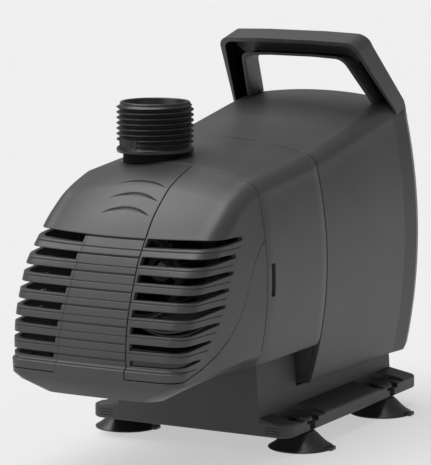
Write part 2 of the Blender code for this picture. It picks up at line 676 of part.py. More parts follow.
register("winding_rear", lathe_mesh("winding_rear", [(19.0, -1.6), (29.5, -1.6), (31.5, 0.4), (31.5, 4.0), (29.5, 6.0), (19.0, 6.0), (17.4, 4.0), (17.4, 0.4)], (0, INNER, AX_Z), "Y", 18), "winding")
register("motor_case", lathe_mesh("motor_case", [(34.9, -34.6), (37.2, -34.6), (37.2, 44.0), (34.2, 47.0), (0, 47.0), (0, 44.4), (33.4, 44.4), (34.9, 42.9)], (0, INNER, AX_Z), "Y", 24), "chamber")

# ---------------------------------------------------------------- stand
outline = []
for cx, cy, a0 in ((FLANGE_X - 6, FLANGE_Y0 + 6, -math.pi / 2), (FLANGE_X - 6, FLANGE_Y1 - 6, 0), (-FLANGE_X + 6, FLANGE_Y1 - 6, math.pi / 2), (-FLANGE_X + 6, FLANGE_Y0 + 6, math.pi)):
    outline += [(cx + 6 * math.cos(a0 + k * math.pi / 8), cy + 6 * math.sin(a0 + k * math.pi / 8)) for k in range(5)]
stand = register("stand", prism_mesh("stand", outline, "Z", FLANGE_Z0, FLANGE_Z1), "stand")
ped = loft_mesh("pedestal", [[(-x, FLANGE_Y0 + d, z), (x, FLANGE_Y0 + d, z), (x, FLANGE_Y1 - 1 - d, z), (-x, FLANGE_Y1 - 1 - d, z)] for x, z, d in ((PED_X, 10.0, 0.0), (PED_X - 1.0, LEDGE_Z, 0.0))])
boolean(stand, ped, "UNION")
shelf = loft_mesh("cradle", [[(-x, FLANGE_Y0, z), (x, FLANGE_Y0, z), (x, y1, z), (-x, y1, z)] for x, z, y1 in ((PED_X - 0.8, 20.0, 13.6), (PED_X - 3.0, SHELF_Z, 10.6))])
boolean(stand, shelf, "UNION")
boolean(stand, loft_mesh("cradle_back", [[(-x, 7.0, z), (x, 7.0, z), (x, 16.6, z), (-x, 16.6, z)] for x, z in ((PED_X - 4.6, 20.0), (PED_X - 6.4, SHELF_Z - 0.2))]), "UNION")
boolean(stand, box_mesh("stand_hollow", (-PED_X + 3.4, FLANGE_Y0 + 3, -1), (PED_X - 3.4, FLANGE_Y1 - 5, LEDGE_Z - 2.8)))
boolean(stand, box_mesh("cradle_hollow", (-PED_X + 6, FLANGE_Y0 + 3, 10), (PED_X - 6, 7.5, SHELF_Z - 2.6)))
for cx in (-CUP_X, CUP_X):
    for cy in CUP_Y:
        s = 1 if cx > 0 else -1
        boolean(stand, lathe_mesh("foot_pocket", disc_profile(8.2, 11.4, 20), (cx, cy, 0), "Z", 22))
        boolean(stand, lathe_mesh("foot_hole", disc_profile(3.4, 1, 21), (cx, cy, 0), "Z", 16))
        a, b = sorted((cx + s * 0.05, cx + s * 12))
        boolean(stand, box_mesh("foot_slot", (a, cy - 2.55, 2), (b, cy + 2.55, 22)))
tidy(stand)

# suction feet
cup_prof = [(0, 5.8), (4.4, 5.6), (12.6, 0.0), (CUP_R, 0.0), (CUP_R, 0.5), (6.4, 7.6), (3.0, 7.7), (3.0, 11.8), (5.4, 11.8), (5.4, 13.6), (4.2, 14.8), (0, 14.8)]
for name, cx, cy, tab in (("foot_front_right", CUP_X, CUP_Y[0], 1), ("foot_front_left", -CUP_X, CUP_Y[0], 1), ("foot_rear_right", CUP_X, CUP_Y[1], 1), ("foot_rear_left", -CUP_X, CUP_Y[1], -1)):
    cup = register(name, lathe_mesh(name, cup_prof, (cx, cy, 0), "Z", 16), "soft")
    a, b = sorted((cx + tab * 12.8, cx + tab * 16.1))
    boolean(cup, box_mesh("tab_" + name, (a, cy - 2.2, 0.15), (b, cy + 2.2, 1.9), 0.4, 1), "UNION")
    tidy(cup)

# ---------------------------------------------------------------- cable inlet
GL = (0, 0, 52.0)
boolean(cover, lathe_mesh("inlet_hole", disc_profile(7.3, 90, 130), GL, "Y", 24))
register("inlet_body", lathe_mesh("inlet_body", [(4.6, 107.0), (9.4, 107.0), (9.4, 111.3), (7.0, 111.3), (7.0, 123.6), (4.6, 123.6)], GL, "Y", 16), "fitting")
register("inlet_seal", lathe_mesh("inlet_seal", ring_profile(3.2, 4.3, 109.0, 122.6), GL, "Y", 12), "seal")
register("inlet_nut", lathe_mesh("inlet_nut", [(7.3, 114.6), (10.0, 114.6), (10.8, 115.4), (10.8, 122.6), (10.0, 123.6), (7.3, 123.6)], GL, "Y", 12), "fitting")

# ---------------------------------------------------------------- screws
for i, (sx, sz) in enumerate(((-33, 116.5), (33, 116.5), (-33, 45.5), (33, 45.5))):
    hole = (sx, 0, sz)
    boolean(cover, lathe_mesh("screw_hole%d" % i, disc_profile(1.9, 90, 130), hole, "Y", 8))
    boolean(rear, lathe_mesh("lug_hole%d" % i, disc_profile(1.9, 100, 112), hole, "Y", 8))
    register("cover_screw_%d" % (i + 1), lathe_mesh("cover_screw", [(0, 105.6), (1.5, 105.6), (1.5, 114.5), (3.0, 114.5), (3.0, 115.6), (2.2, 116.3), (0, 116.3)], hole, "Y", 8), "steel")
tidy(cover)
tidy(rear)
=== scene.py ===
"""Looks of the submersible fountain pump: fine shells, grilles, thread, handle, stand,
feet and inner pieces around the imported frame, with procedural materials."""
import json
import math

import bmesh
import bpy
import numpy as np
from mathutils import Matrix, Vector


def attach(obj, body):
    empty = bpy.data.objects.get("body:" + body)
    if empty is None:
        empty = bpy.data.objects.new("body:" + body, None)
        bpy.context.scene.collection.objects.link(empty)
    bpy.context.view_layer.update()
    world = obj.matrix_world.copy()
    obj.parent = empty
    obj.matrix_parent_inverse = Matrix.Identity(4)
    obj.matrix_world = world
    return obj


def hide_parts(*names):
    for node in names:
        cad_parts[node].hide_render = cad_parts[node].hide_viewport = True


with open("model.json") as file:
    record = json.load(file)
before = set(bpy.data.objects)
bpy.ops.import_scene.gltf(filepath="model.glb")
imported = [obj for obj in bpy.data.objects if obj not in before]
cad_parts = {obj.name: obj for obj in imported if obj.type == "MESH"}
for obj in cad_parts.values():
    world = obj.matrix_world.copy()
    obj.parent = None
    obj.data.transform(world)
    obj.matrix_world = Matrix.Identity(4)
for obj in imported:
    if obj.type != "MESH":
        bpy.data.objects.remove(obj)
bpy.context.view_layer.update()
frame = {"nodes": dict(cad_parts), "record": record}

# ---------------------------------------------------------------- dimensions (mm, build frame)
MM = 0.001
Y_SHIFT = -9.1          # mm, puts the bounding-box centre on y = 0
GAP = 0.3               # play between touching pieces
WALL = 2.4              # shell thickness
Y_SEAM1 = -39.0         # hood / middle ring
Y_SEAM2 = 17.0          # middle ring / motor shell
AX_Z = 82.0             # rotor axis height
NOZ_X = -12.6           # outlet axis, tangential to the impeller
NOZ_Y = -28.2
NOZ_Z0 = 129.1          # underside of the outlet collar
NOZ_Z1 = 150.8          # outlet rim
INNER = 20.0            # place of the pump chamber and motor along the axis
THREAD_OD = 33.25       # G1 thread
THREAD_PITCH = 2.309
THREAD_ROOT = 30.3
NOZ_BORE = 26.8
NECK_OD = 20.8
NECK_ID = 17.0
CUP_X = 43.7
CUP_Y = (0.0, 80.4)
CUP_R = 14.3
FLANGE_X = 49.5
FLANGE_Y0 = -22.5
FLANGE_Y1 = 109.0
FLANGE_Z0 = 8.0
FLANGE_Z1 = 13.8
PED_X = 35.5
LEDGE_Z = 23.7
SHELF_Z = 41.2
SLOT_TOP1 = 100.4       # top edge of the first slot
SLOT_PITCH = 6.7
SLOT_X0 = (15.2, 15.7, 16.2, 16.7, 17.2, 17.7, 18.1, 18.6)   # inner ends of the slots
SLOT_Y_END = (-56.0, -61.5, -64.0, -67.3, -69.7, -73.5, -79.0, -86.5)
GROOVE = ((40, 16.9), (53, 16.1), (79, 14.7), (102, 13.5), (114, 12.4), (130, 11.2))   # edge of the centre panel (z, x)


# ---------------------------------------------------------------- mesh helpers
def cutter(mesh):
    ob = bpy.data.objects.new("cut_" + mesh.name, mesh)
    bpy.context.scene.collection.objects.link(ob)
    return ob


def boolean(ob, mesh, op="DIFFERENCE", keep=False):
    """Exact Boolean of an object with a closed mesh; nothing is left behind."""
    c = cutter(mesh)
    m = ob.modifiers.new("bool", "BOOLEAN")
    m.object = c
    m.operation = op
    m.solver = "EXACT"
    dg = bpy.context.evaluated_depsgraph_get()
    dg.update()
    new = bpy.data.meshes.new_from_object(ob.evaluated_get(dg))
    ob.modifiers.clear()
    ob.data = new
    bpy.data.objects.remove(c, do_unlink=True)
    return ob


def mesh_of(name, verts, faces):
    v = np.array(verts, float)
    v[:, 1] += Y_SHIFT
    v *= MM
    me = bpy.data.meshes.new(name)
    me.from_pydata([tuple(p) for p in v], [], faces)
    bm = bmesh.new()
    bm.from_mesh(me)
    bmesh.ops.remove_doubles(bm, verts=bm.verts, dist=1e-6)
    bmesh.ops.dissolve_degenerate(bm, edges=bm.edges, dist=1e-7)
    bmesh.ops.recalc_face_normals(bm, faces=bm.faces)
    if bm.calc_volume(signed=True) < 0:
        bmesh.ops.reverse_faces(bm, faces=bm.faces)
    bm.to_mesh(me)
    bm.free()
    return me


def joined(name, meshes):
    """One mesh of several separate closed cutters."""
    bm = bmesh.new()
    for me in meshes:
        bm.from_mesh(me)
    out = bpy.data.meshes.new(name)
    bm.to_mesh(out)
    bm.free()
    return out


def box_mesh(name, lo, hi, bevel=0.0, segs=2):
    bm = bmesh.new()
    bmesh.ops.create_cube(bm, size=1.0)
    lo = np.array(lo, float)
    hi = np.array(hi, float)
    for v in bm.verts:
        p = (np.array(v.co) + 0.5) * (hi - lo) + lo
        p[1] += Y_SHIFT
        v.co = p * MM
    if bevel:
        bmesh.ops.bevel(bm, geom=list(bm.edges), offset=bevel * MM, segments=segs, affect="EDGES", profile=0.5)
    me = bpy.data.meshes.new(name)
    bm.to_mesh(me)
    bm.free()
    return me


def lathe_mesh(name, profile, centre, axis="Z", steps=32):
    """Closed solid of revolution from a closed or axis-to-axis (r, h) profile, spun with a Screw modifier."""
    pr = [(max(r, 0.0), h) for r, h in profile]
    on_axis = pr[0][0] < 1e-9 and pr[-1][0] < 1e-9
    me = bpy.data.meshes.new(name + "_profile")
    edges = [(i, i + 1) for i in range(len(pr) - 1)]
    if not on_axis:
        edges.append((len(pr) - 1, 0))
    me.from_pydata([(r * MM, 0, h * MM) for r, h in pr], edges, [])
    ob = bpy.data.objects.new(name + "_profile", me)
    bpy.context.scene.collection.objects.link(ob)
    s = ob.modifiers.new("screw", "SCREW")
    s.axis = "Z"
    s.angle = 2 * math.pi
    s.steps = s.render_steps = steps
    s.use_merge_vertices = True
    s.merge_threshold = 1e-6
    s.use_normal_calculate = True
    dg = bpy.context.evaluated_depsgraph_get()
    dg.update()
    new = bpy.data.meshes.new_from_object(ob.evaluated_get(dg))
    bpy.data.objects.remove(ob, do_unlink=True)
    bm = bmesh.new()
    bm.from_mesh(new)
    bmesh.ops.remove_doubles(bm, verts=bm.verts, dist=1e-6)
    bmesh.ops.recalc_face_normals(bm, faces=bm.faces)
    if bm.calc_volume(signed=True) < 0:
        bmesh.ops.reverse_faces(bm, faces=bm.faces)
    c = np.array([centre[0], centre[1] + Y_SHIFT, centre[2]]) * MM
    for v in bm.verts:
        x, y, z = v.co
        if axis == "Z":
            p = (x, y, z)
        elif axis == "Y":
            p = (x, z, -y)
        else:
            p = (z, x, y)
        v.co = (p[0] + c[0], p[1] + c[1], p[2] + c[2])
    bmesh.ops.recalc_face_normals(bm, faces=bm.faces)
    bm.to_mesh(new)
    bm.free()
    new.name = name
    return new


def ring_profile(r0, r1, h0, h1):
    return [(r0, h0), (r1, h0), (r1, h1), (r0, h1)]


def disc_profile(r, h0, h1):
    return [(0, h0), (r, h0), (r, h1), (0, h1)]


def torus_mesh(name, R, r, centre, axis="Z", steps=32, seg=8):
    pr = [(R + r * math.cos(a), r * math.sin(a)) for a in np.linspace(0, 2 * math.pi, seg, endpoint=False)]
    return lathe_mesh(name, pr, centre, axis, steps)


def prism_mesh(name, poly, axis, a0, a1):
    """Extrudes a closed 2-D polygon. axis X: poly is (y, z); Y: (x, z); Z: (x, y)."""
    n = len(poly)
    verts = []
    for a in (a0, a1):
        for p, q in poly:
            verts.append({"X": (a, p, q), "Y": (p, a, q), "Z": (p, q, a)}[axis])
    faces = [list(range(n)), list(range(n, 2 * n))]
    faces += [[i, (i + 1) % n, n + (i + 1) % n, n + i] for i in range(n)]
    return mesh_of(name, verts, faces)


# ---------------------------------------------------------------- body form
def smooth01(t):
    t = min(max(t, 0.0), 1.0)
    return t * t * (3 - 2 * t)


def z_top(y):
    return float(np.interp(y, (-60, -50, -39, -10, 17, 53, 94, 106), (119.6, 123.2, 126.5, 129.1, 131.5, 136.8, 143.2, 144.4)))


def crown(x, y):
    k = np.interp(y, (-39, 17, 94), (0.0042, 0.0040, 0.0026))
    return float(k) * x * x


def bottom_chamfer(y, z):
    """Inward step of the hood's underside edge, strongest at the lip."""
    zb = 35.7 + (y + 105.0) * 0.079
    return max(0.0, zb + 6.2 - z) * 1.75 * smooth01((-30.0 - y) / 22.0)


def half_width(y, z):
    w0 = float(np.interp(y, (-104, -92, -80, -60, -39, 17, 112), (41.6, 42.4, 43.2, 45.6, 47.7, 47.7, 48.0)))
    k = float(np.interp(y, (-104, -80, -39, 17, 112), (0.0010, 0.0018, 0.0032, 0.0029, 0.0019)))
    w = w0 - k * (z - 78.0) ** 2
    return w - bottom_chamfer(y, z)


def resample(pts, n):
    pts = np.array(pts, float)
    d = np.r_[0, np.cumsum(np.hypot(*np.diff(pts, axis=0).T))]
    t = np.linspace(0, d[-1], n)
    return np.stack([np.interp(t, d, pts[:, 0]), np.interp(t, d, pts[:, 1])], -1)


def catmull(pts, k=6):
    p = np.array(pts, float)
    p = np.vstack([2 * p[0] - p[1], p, 2 * p[-1] - p[-2]])
    out = []
    for i in range(1, len(p) - 2):
        for t in np.linspace(0, 1, k, endpoint=False):
            a, b, c, d = p[i - 1], p[i], p[i + 1], p[i + 2]
            out.append(0.5 * (2 * b + (c - a) * t + (2 * a - 5 * b + 4 * c - d) * t * t + (3 * b - a - 3 * c + d) * t ** 3))
    out.append(p[-2])
    return np.array(out)


HOOD_FRONT = [(-60.5, 119.0), (-66.2, 115.3), (-73.0, 110.6), (-77.9, 106.3), (-81.9, 101.8), (-86.3, 96.3), (-89.8, 91.2), (-93.2, 84.6),
              (-96.9, 77.1), (-100.2, 69.3), (-102.2, 61.4), (-103.2, 54.0), (-103.3, 50.6)]
HOOD_LIP = [(-105.4, 49.2), (-105.4, 43.5), (-104.4, 41.0), (-99.6, 35.9)]


def offset_line(line, t, inside):
    """Moves a (y, z) polyline by t towards the inside point."""
    line = np.array(line, float)
    tan = np.gradient(line, axis=0)
    tan /= np.linalg.norm(tan, axis=1)[:, None] + 1e-12
    nor = np.stack([-tan[:, 1], tan[:, 0]], -1)
    s = np.sign(((np.array(inside) - line) * nor).sum(1))
    return line + nor * s[:, None] * t


def hood_solid(name, t, y_s, nband=14, nfil=7, nside=9, ntop=10, nfront=40):
    """Closed solid of one end of the body: rows run from the seam plane round the end and back."""
    top = [(y, z_top(y)) for y in np.linspace(y_s, -54, ntop)]
    line = np.vstack([resample(catmull(top + HOOD_FRONT), ntop + nfront), np.array(HOOD_LIP)])
    z_low_seam = 41.0
    inside = (-45.0, 75.0)
    outer = line.copy()
    if t:
        line = offset_line(outer, t, inside)
        line[0] = (y_s, outer[0][1] - t)
    n = len(line)
    tan = np.gradient(line, axis=0)
    tan /= np.linalg.norm(tan, axis=1)[:, None]
    rows = []
    ring_z0 = None
    for i in range(n):
        y, z = line[i]
        # inward direction (dy, dz): vertical on the top near the seam, horizontal on the end face
        dy, dz = abs(tan[i][1]), -abs(tan[i][0])
        blend = smooth01((y_s - y) / 26.0)
        low = smooth01((56.0 - z) / 8.0)
        dy, dz = dy * blend, dz * blend - (1 - blend)
        dy, dz = dy * (1 - low) + low, dz * (1 - low)
        L = math.hypot(dy, dz)
        dy, dz = dy / L, dz / L
        end = smooth01((108.0 - z) / 22.0)
        kc = 0.0042 * (1 - end) + 0.0011 * end
        R = max(7.8 - t, 1.0)
        # solve the ring half width where the corner meets the side wall
        w = half_width(y, z) - t
        for _ in range(6):
            xb = w - R
            cr = kc * xb * xb
            ry, rz = y + dy * (cr + R), z + dz * (cr + R)
            w = half_width(ry, rz) - t
        row = []
        for k in range(nband + 1):
            x = xb * k / nband
            c = kc * x * x
            row.append((x, y + dy * c, z + dz * c))
        for k in range(1, nfil + 1):
            a = math.pi / 2 * k / nfil
            c = cr + R * (1 - math.cos(a))
            row.append((xb + R * math.sin(a), y + dy * c, z + dz * c))
        if ring_z0 is None:
            ring_z0 = rz
        rows.append([row, (ry, rz)])
    # side wall: from every ring point back to the seam plane
    zs = np.array([r[1][1] for r in rows])
    zr0 = ring_z0
    out = []
    for i, (row, (ry, rz)) in enumerate(rows):
        if i == 0:
            side = [(row[-1][0], y_s, rz)] * nside
        else:
            zt = zr0 - (zr0 - z_low_seam) * ((zr0 - rz) / (zr0 - rows[-1][1][1])) if rz < zr0 else zr0 - 0.02 * i
            side = []
            for k in range(1, nside + 1):
                g = k / nside
                yy = ry + (y_s - ry) * g
                z2 = rz + (zt - rz) * g
                side.append((half_width(yy, z2) - t, yy, z2))
        out.append(row + side)
    verts = []
    faces = []
    m = len(out[0])
    W = 2 * m - 1
    for r in out:
        left = [(-x, y, z) for x, y, z in r[:0:-1]]
        verts += left + r
    for i in range(n - 1):
        for j in range(W - 1):
            faces.append([i * W + j, i * W + j + 1, (i + 1) * W + j + 1, (i + 1) * W + j])
    # underside: bridge the last row left to right
    b = (n - 1) * W
    for j in range(m - 1):
        a0, a1 = b + j, b + j + 1
        c0, c1 = b + W - 1 - j, b + W - 2 - j
        if a1 == c1:
            faces.append([a0, a1, c0])
        else:
            faces.append([a0, a1, c1, c0])
    # seam plane cap: first row and the ends of all rows form one planar loop
    loop = [j for j in range(0, W)]
    right = [i * W + W - 1 for i in range(1, n)]
    leftc = [i * W for i in range(n - 1, 0, -1)]
    faces.append(loop + right + leftc)
    return mesh_of(name, verts, faces)


def section(y, t, zb, nband=14, nfil=8, nside=16):
    R = max(7.5 - t, 1.0)
    zt = z_top(y) - t
    k = float(np.interp(y, (-39, 17, 94), (0.0042, 0.0040, 0.0026)))
    w = 46.0
    for _ in range(6):
        xb = w - R
        cr = k * xb * xb
        rz = zt - cr - R
        w = half_width(y, rz) - t
    pts = [(xb * i / nband, zt - k * (xb * i / nband) ** 2) for i in range(nband + 1)]
    pts += [(xb + R * math.sin(math.pi / 2 * i / nfil), zt - cr - R * (1 - math.cos(math.pi / 2 * i / nfil))) for i in range(1, nfil + 1)]
    rb = 3.2
    for i in range(1, nside + 1):
        z = rz + (zb + rb - rz) * i / nside
        pts.append((half_width(y, z) - t, z))
    x1 = half_width(y, zb + rb) - t
    pts += [(x1 - rb * 0.29, zb + rb * 0.29), (x1 - rb, zb)]
    full = [(x, y, z) for x, z in pts] + [(-x, y, z) for x, z in pts[:0:-1]]
    return full


Y_REAR = 114.6          # flat rear face


FLARE = 0.027


def rear_solid(name, t, y_s, nsta=9, nfil=8, R=9.0):
    """Closed solid of the motor end: sections swept back to the flat rear face, with a rounded rim."""
    zb = 24.3 + t
    R = max(R - t, 1.0)
    rings = []
    for i in range(nsta + 1):
        f = i / nsta
        base = section(y_s + (96 - y_s) * f, t, zb)
        ring = []
        for k in range(len(base)):
            p = base[k]
            for _ in range(3):
                y = y_s + (Y_REAR - t - R - y_s) * f
                p = section(y, t, zb)[k] if f > 0 else (p[0], y_s, p[2])
            ring.append((p[0] * (1 + (FLARE if i == nsta else 0.0)), y, p[2]) if f > 0 else p)
        rings.append(ring)
    last = rings[-1]
    n = len(last)
    for j in range(1, nfil + 1):
        a = 0.5 + (math.pi / 2 - 0.5) * (j - 1) / (nfil - 1)
        d = R * (1 - math.cos(a))
        ring = []
        for x, y, z in last:
            x2, z2 = x * (1 - d / 47.0), 80.0 + (z - 80.0) * (1 - d / 58.0)
            ring.append((x2, Y_REAR - t - R + R * math.sin(a), z2))
        rings.append(ring)
    verts = [p for r in rings for p in r]
    faces = [list(range(n))]
    for i in range(len(rings) - 1):
        for j in range(n):
            faces.append([i * n + j, i * n + (j + 1) % n, (i + 1) * n + (j + 1) % n, (i + 1) * n + j])
    b = (len(rings) - 1) * n
    half = (n - 1) // 2
    for j in range(half):
        r0, r1 = b + j, b + j + 1
        l0, l1 = b + (n - j) % n, b + n - 1 - j
        faces.append([r0, r1, l1] if l0 == r0 else [r0, r1, l1, l0])
    return mesh_of(name, verts, faces)


def loft_mesh(name, rings):
    n = len(rings[0])
    verts = [p for r in rings for p in r]
    faces = [list(range(n)), list(range((len(rings) - 1) * n, len(rings) * n))]
    for i in range(len(rings) - 1):
        for j in range(n):
            faces.append([i * n + j, i * n + (j + 1) % n, (i + 1) * n + (j + 1) % n, (i + 1) * n + j])
    return mesh_of(name, verts, faces)


# line (y, z) under the louvre inserts, seen from the side
INSERT_LINE = [(-130, 45.4), (-99, 45.6), (-94, 46.6), (-84.6, 48.7), (-74.4, 52.6), (-65.9, 58.2), (-59.8, 64.8), (-55.4, 72.6),
               (-52.0, 80.8), (-48.0, 88.0), (-43.5, 93.5), (-34, 100)]

def lean(z):
    return 95.8 - 0.88 * (z - 139.0)


def leaning_frame(name, outer, inner, d0, d1):
    n = len(outer)
    verts = []
    for line, rise in ((outer, 0.25), (inner, 0.0)):
        for d in (d0, d1):
            verts += [(x, lean(z) + d, z + rise * max(d, 0.0) * smooth01((z - 160.0) / 8.0)) for x, z in line]
    faces = []
    for i in range(n - 1):
        o0, o1, p0, p1 = i, i + 1, n + i, n + i + 1
        a0, a1, b0, b1 = 2 * n + i, 2 * n + i + 1, 3 * n + i, 3 * n + i + 1
        faces += [[o0, o1, p1, p0], [a0, a1, b1, b0], [o0, o1, a1, a0], [p0, p1, b1, b0]]
    for i in (0, n - 1):
        faces.append([i, n + i, 3 * n + i, 2 * n + i])
    return mesh_of(name, verts, faces)


def round_frame(hx0, z0, hx1, z1, r, n=6):
    """Open outline (x, z) of a tapering hoop: half width hx0 at z0, hx1 at z1, corner radius r."""
    pts = [(hx0, z0)]
    cx, cz = hx1 - r, z1 - r
    slope = math.atan2(hx0 - hx1, z1 - z0)
    for k in range(n + 1):
        a = slope + (math.pi / 2 - slope) * k / n
        pts.append((cx + r * math.cos(a), cz + r * math.sin(a)))
    pts += [(hx1 * 0.4, z1 + 0.5)]
    return pts + [(-x, z) for x, z in pts[::-1]]


def zone(name, side, grow):
    """Closed solid outboard of the flared panel edge and above the insert line."""
    low = [(y, z + grow) for y, z in INSERT_LINE]
    rings = []
    for zz, gx in GROOVE:
        gx = gx + (grow if side > 0 or not grow else 0.03) - grow
        rings.append([(side * (gx + grow), -130, zz), (side * 70, -130, zz), (side * 70, -34, zz), (side * (gx + grow), -34, zz)])
    rings.insert(0, [(x, y, 20) for x, y, z in rings[0]])
    rings.append([(x, y, 150) for x, y, z in rings[-1]])
    ob = cutter(loft_mesh(name, rings))
    boolean(ob, prism_mesh(name + "_above", low + [(-34, 160), (-130, 160)], "X", -80, 80), "INTERSECT")
    me = ob.data
    bpy.data.objects.remove(ob, do_unlink=True)
    return me




# ---------------------------------------------------------------- materials
def material(name, rgb, rough, metal=0.0, grain=2600.0, bump=0.05, var=0.10, edge=0.0005, rvar=0.08, spec=0.5, streak=False):
    """Procedural finish: fine moulded grain in the bump, uneven tone and gloss, softened edges."""
    m = bpy.data.materials.new(name)
    m.use_nodes = True
    nt = m.node_tree
    b = nt.nodes["Principled BSDF"]
    b.inputs["Metallic"].default_value = metal
    b.inputs["Specular IOR Level"].default_value = spec
    tc = nt.nodes.new("ShaderNodeTexCoord")
    src = tc.outputs["Object"]
    if streak:
        mp = nt.nodes.new("ShaderNodeMapping")
        mp.inputs["Scale"].default_value = (1.0, 1.0, 14.0)
        nt.links.new(src, mp.inputs["Vector"])
        src = mp.outputs["Vector"]
    broad = nt.nodes.new("ShaderNodeTexNoise")
    broad.inputs["Scale"].default_value = 38.0
    broad.inputs["Detail"].default_value = 4.0
    nt.links.new(src, broad.inputs["Vector"])
    ramp = nt.nodes.new("ShaderNodeValToRGB")
    lo = tuple(c * (1 - var) for c in rgb)
    hi = tuple(min(1.0, c * (1 + var)) for c in rgb)
    ramp.color_ramp.elements[0].position = 0.3
    ramp.color_ramp.elements[0].color = (*lo, 1)
    ramp.color_ramp.elements[1].position = 0.7
    ramp.color_ramp.elements[1].color = (*hi, 1)
    nt.links.new(broad.outputs["Fac"], ramp.inputs["Fac"])
    nt.links.new(ramp.outputs["Color"], b.inputs["Base Color"])
    fine = nt.nodes.new("ShaderNodeTexNoise")
    fine.inputs["Scale"].default_value = grain
    fine.inputs["Detail"].default_value = 3.0
    fine.inputs["Roughness"].default_value = 0.6
    nt.links.new(src, fine.inputs["Vector"])
    mr = nt.nodes.new("ShaderNodeMapRange")
    mr.inputs["From Min"].default_value = 0.25
    mr.inputs["From Max"].default_value = 0.75
    mr.inputs["To Min"].default_value = max(0.02, rough - rvar)
    mr.inputs["To Max"].default_value = min(1.0, rough + rvar)
    nt.links.new(fine.outputs["Fac"], mr.inputs["Value"])
    nt.links.new(mr.outputs["Result"], b.inputs["Roughness"])
    bp = nt.nodes.new("ShaderNodeBump")
    bp.inputs["Strength"].default_value = bump
    bp.inputs["Distance"].default_value = 0.0002
    nt.links.new(fine.outputs["Fac"], bp.inputs["Height"])
    if edge:
        bv = nt.nodes.new("ShaderNodeBevel")
        bv.samples = 6
        bv.inputs["Radius"].default_value = edge
        nt.links.new(bv.outputs["Normal"], bp.inputs["Normal"])
    nt.links.new(bp.outputs["Normal"], b.inputs["Normal"])
    return m


M = {
    "shell": material("shell_plastic", (0.05, 0.0505, 0.0525), 0.42, bump=0.07, edge=0.0006, spec=0.45),
    # near-black finish painted on as shade: it stands for the shadow inside the handle channel and under the outlet
    # collar, not for a colour of the plastic
    "dark": material("painted_shade_plastic", (0.006, 0.006, 0.0065), 0.75, bump=0.05, edge=0.0003, spec=0.08),
    "stand": material("stand_plastic", (0.044, 0.0445, 0.046), 0.48, bump=0.08, edge=0.0005, spec=0.36),
    "fitting": material("fitting_plastic", (0.009, 0.009, 0.0095), 0.33, bump=0.05, edge=0.00025),
    "chamber": material("chamber_plastic", (0.016, 0.016, 0.017), 0.45, bump=0.05, edge=0.0003),
    "soft": material("cup_rubber", (0.018, 0.018, 0.019), 0.36, bump=0.12, grain=1500, edge=0.0004, var=0.15),
    "seal": material("seal_rubber", (0.015, 0.015, 0.015), 0.62, bump=0.1, grain=1800, edge=0.0),
    "wheel": material("wheel_plastic", (0.06, 0.062, 0.066), 0.38, bump=0.04, edge=0.0003, var=0.05),
    "magnet": material("ferrite", (0.05, 0.05, 0.055), 0.5, metal=0.2, bump=0.15, grain=3200, edge=0.0003, var=0.2),
    "shaft": material("shaft_ceramic", (0.30, 0.30, 0.29), 0.22, bump=0.01, edge=0.0, var=0.03, rvar=0.04),
    "steel": material("plain_steel", (0.42, 0.42, 0.43), 0.35, metal=1.0, bump=0.06, grain=1400, edge=0.0002, streak=True),
    "winding": material("copper_wire", (0.55, 0.22, 0.09), 0.35, metal=0.9, bump=0.6, grain=900, edge=0.0, var=0.2, streak=True),
}


def finish(ob, slot, body, *nodes, sharp=32.0, extra=None):
    """Welds, shades and dresses a piece, and ties it to its body and its CAD nodes."""
    bm = bmesh.new()
    bm.from_mesh(ob.data)
    bmesh.ops.remove_doubles(bm, verts=bm.verts, dist=1e-6)
    bmesh.ops.dissolve_degenerate(bm, edges=bm.edges, dist=1e-6)
    bmesh.ops.recalc_face_normals(bm, faces=bm.faces)
    if bm.calc_volume(signed=True) < 0:
        bmesh.ops.reverse_faces(bm, faces=bm.faces)
    bm.to_mesh(ob.data)
    bm.free()
    ob.data.materials.clear()
    ob.data.materials.append(M[slot])
    if extra:
        ob.data.materials.append(M[extra])
    for poly in ob.data.polygons:
        poly.use_smooth = True
        if not extra:
            poly.material_index = 0
    ob.data.set_sharp_from_angle(angle=math.radians(sharp))
    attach(ob, body)
    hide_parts(*nodes)
    return ob


def make(name, mesh):
    ob = bpy.data.objects.new(name, mesh)
    bpy.context.scene.collection.objects.link(ob)
    return ob


# ---------------------------------------------------------------- strainer hood
SEAM = Y_SEAM1 - 0.45
hood = make("hood_shell", hood_solid("hood_shell", 0.0, SEAM))
boolean(hood, hood_solid("hood_inner", WALL, Y_SEAM1 + 6))
boolean(hood, box_mesh("hood_floor_opening", (-27, -88, 25), (27, -30, 60)))
VGAP = 0.45


def slot_cut(side, i):
    zt = SLOT_TOP1 - SLOT_PITCH * i
    h = 3.4 - 0.09 * i
    ye = SLOT_Y_END[i]
    yb = ye - 26.0
    n = 7
    he = 1.75 - 0.13 * i
    low = [(yb + (ye - yb) * k / n, zt - h + (h - he) * (k / n) ** 1.4) for k in range(n + 1)]
    poly = [(-130, zt - h)] + low + [(ye, zt), (-130, zt)]
    x0, x1 = (SLOT_X0[i] - 0.4, 70) if side > 0 else (-70, -SLOT_X0[i] + 0.4)
    return prism_mesh("slot", poly, "X", x0, x1)


def louvre_zone(name, s, grow):
    """The insert's zone; on the left only up to the first slot, where the upper line is not seen."""
    me = zone(name, s, grow)
    if s < 0:
        ob = make(name, me)
        boolean(ob, box_mesh(name + "_low", (-90, -140, 10), (90, -20, 100.4 - (0.03 if grow else 0.0))), "INTERSECT")
        me = ob.data.copy()
        bpy.data.objects.remove(ob, do_unlink=True)
    return me


grilles = {}
for s, side in ((-1, "left"), (1, "right")):
    g = make("louvre_" + side, hood.data.copy())
    boolean(g, louvre_zone("keep_" + side, s, VGAP), "INTERSECT")
    boolean(g, joined("slots_" + side, [slot_cut(s, i) for i in range(8)]))
    grilles[side] = g
for s, side in ((-1, "left"), (1, "right")):
    boolean(hood, louvre_zone("window_" + side, s, 0.0))

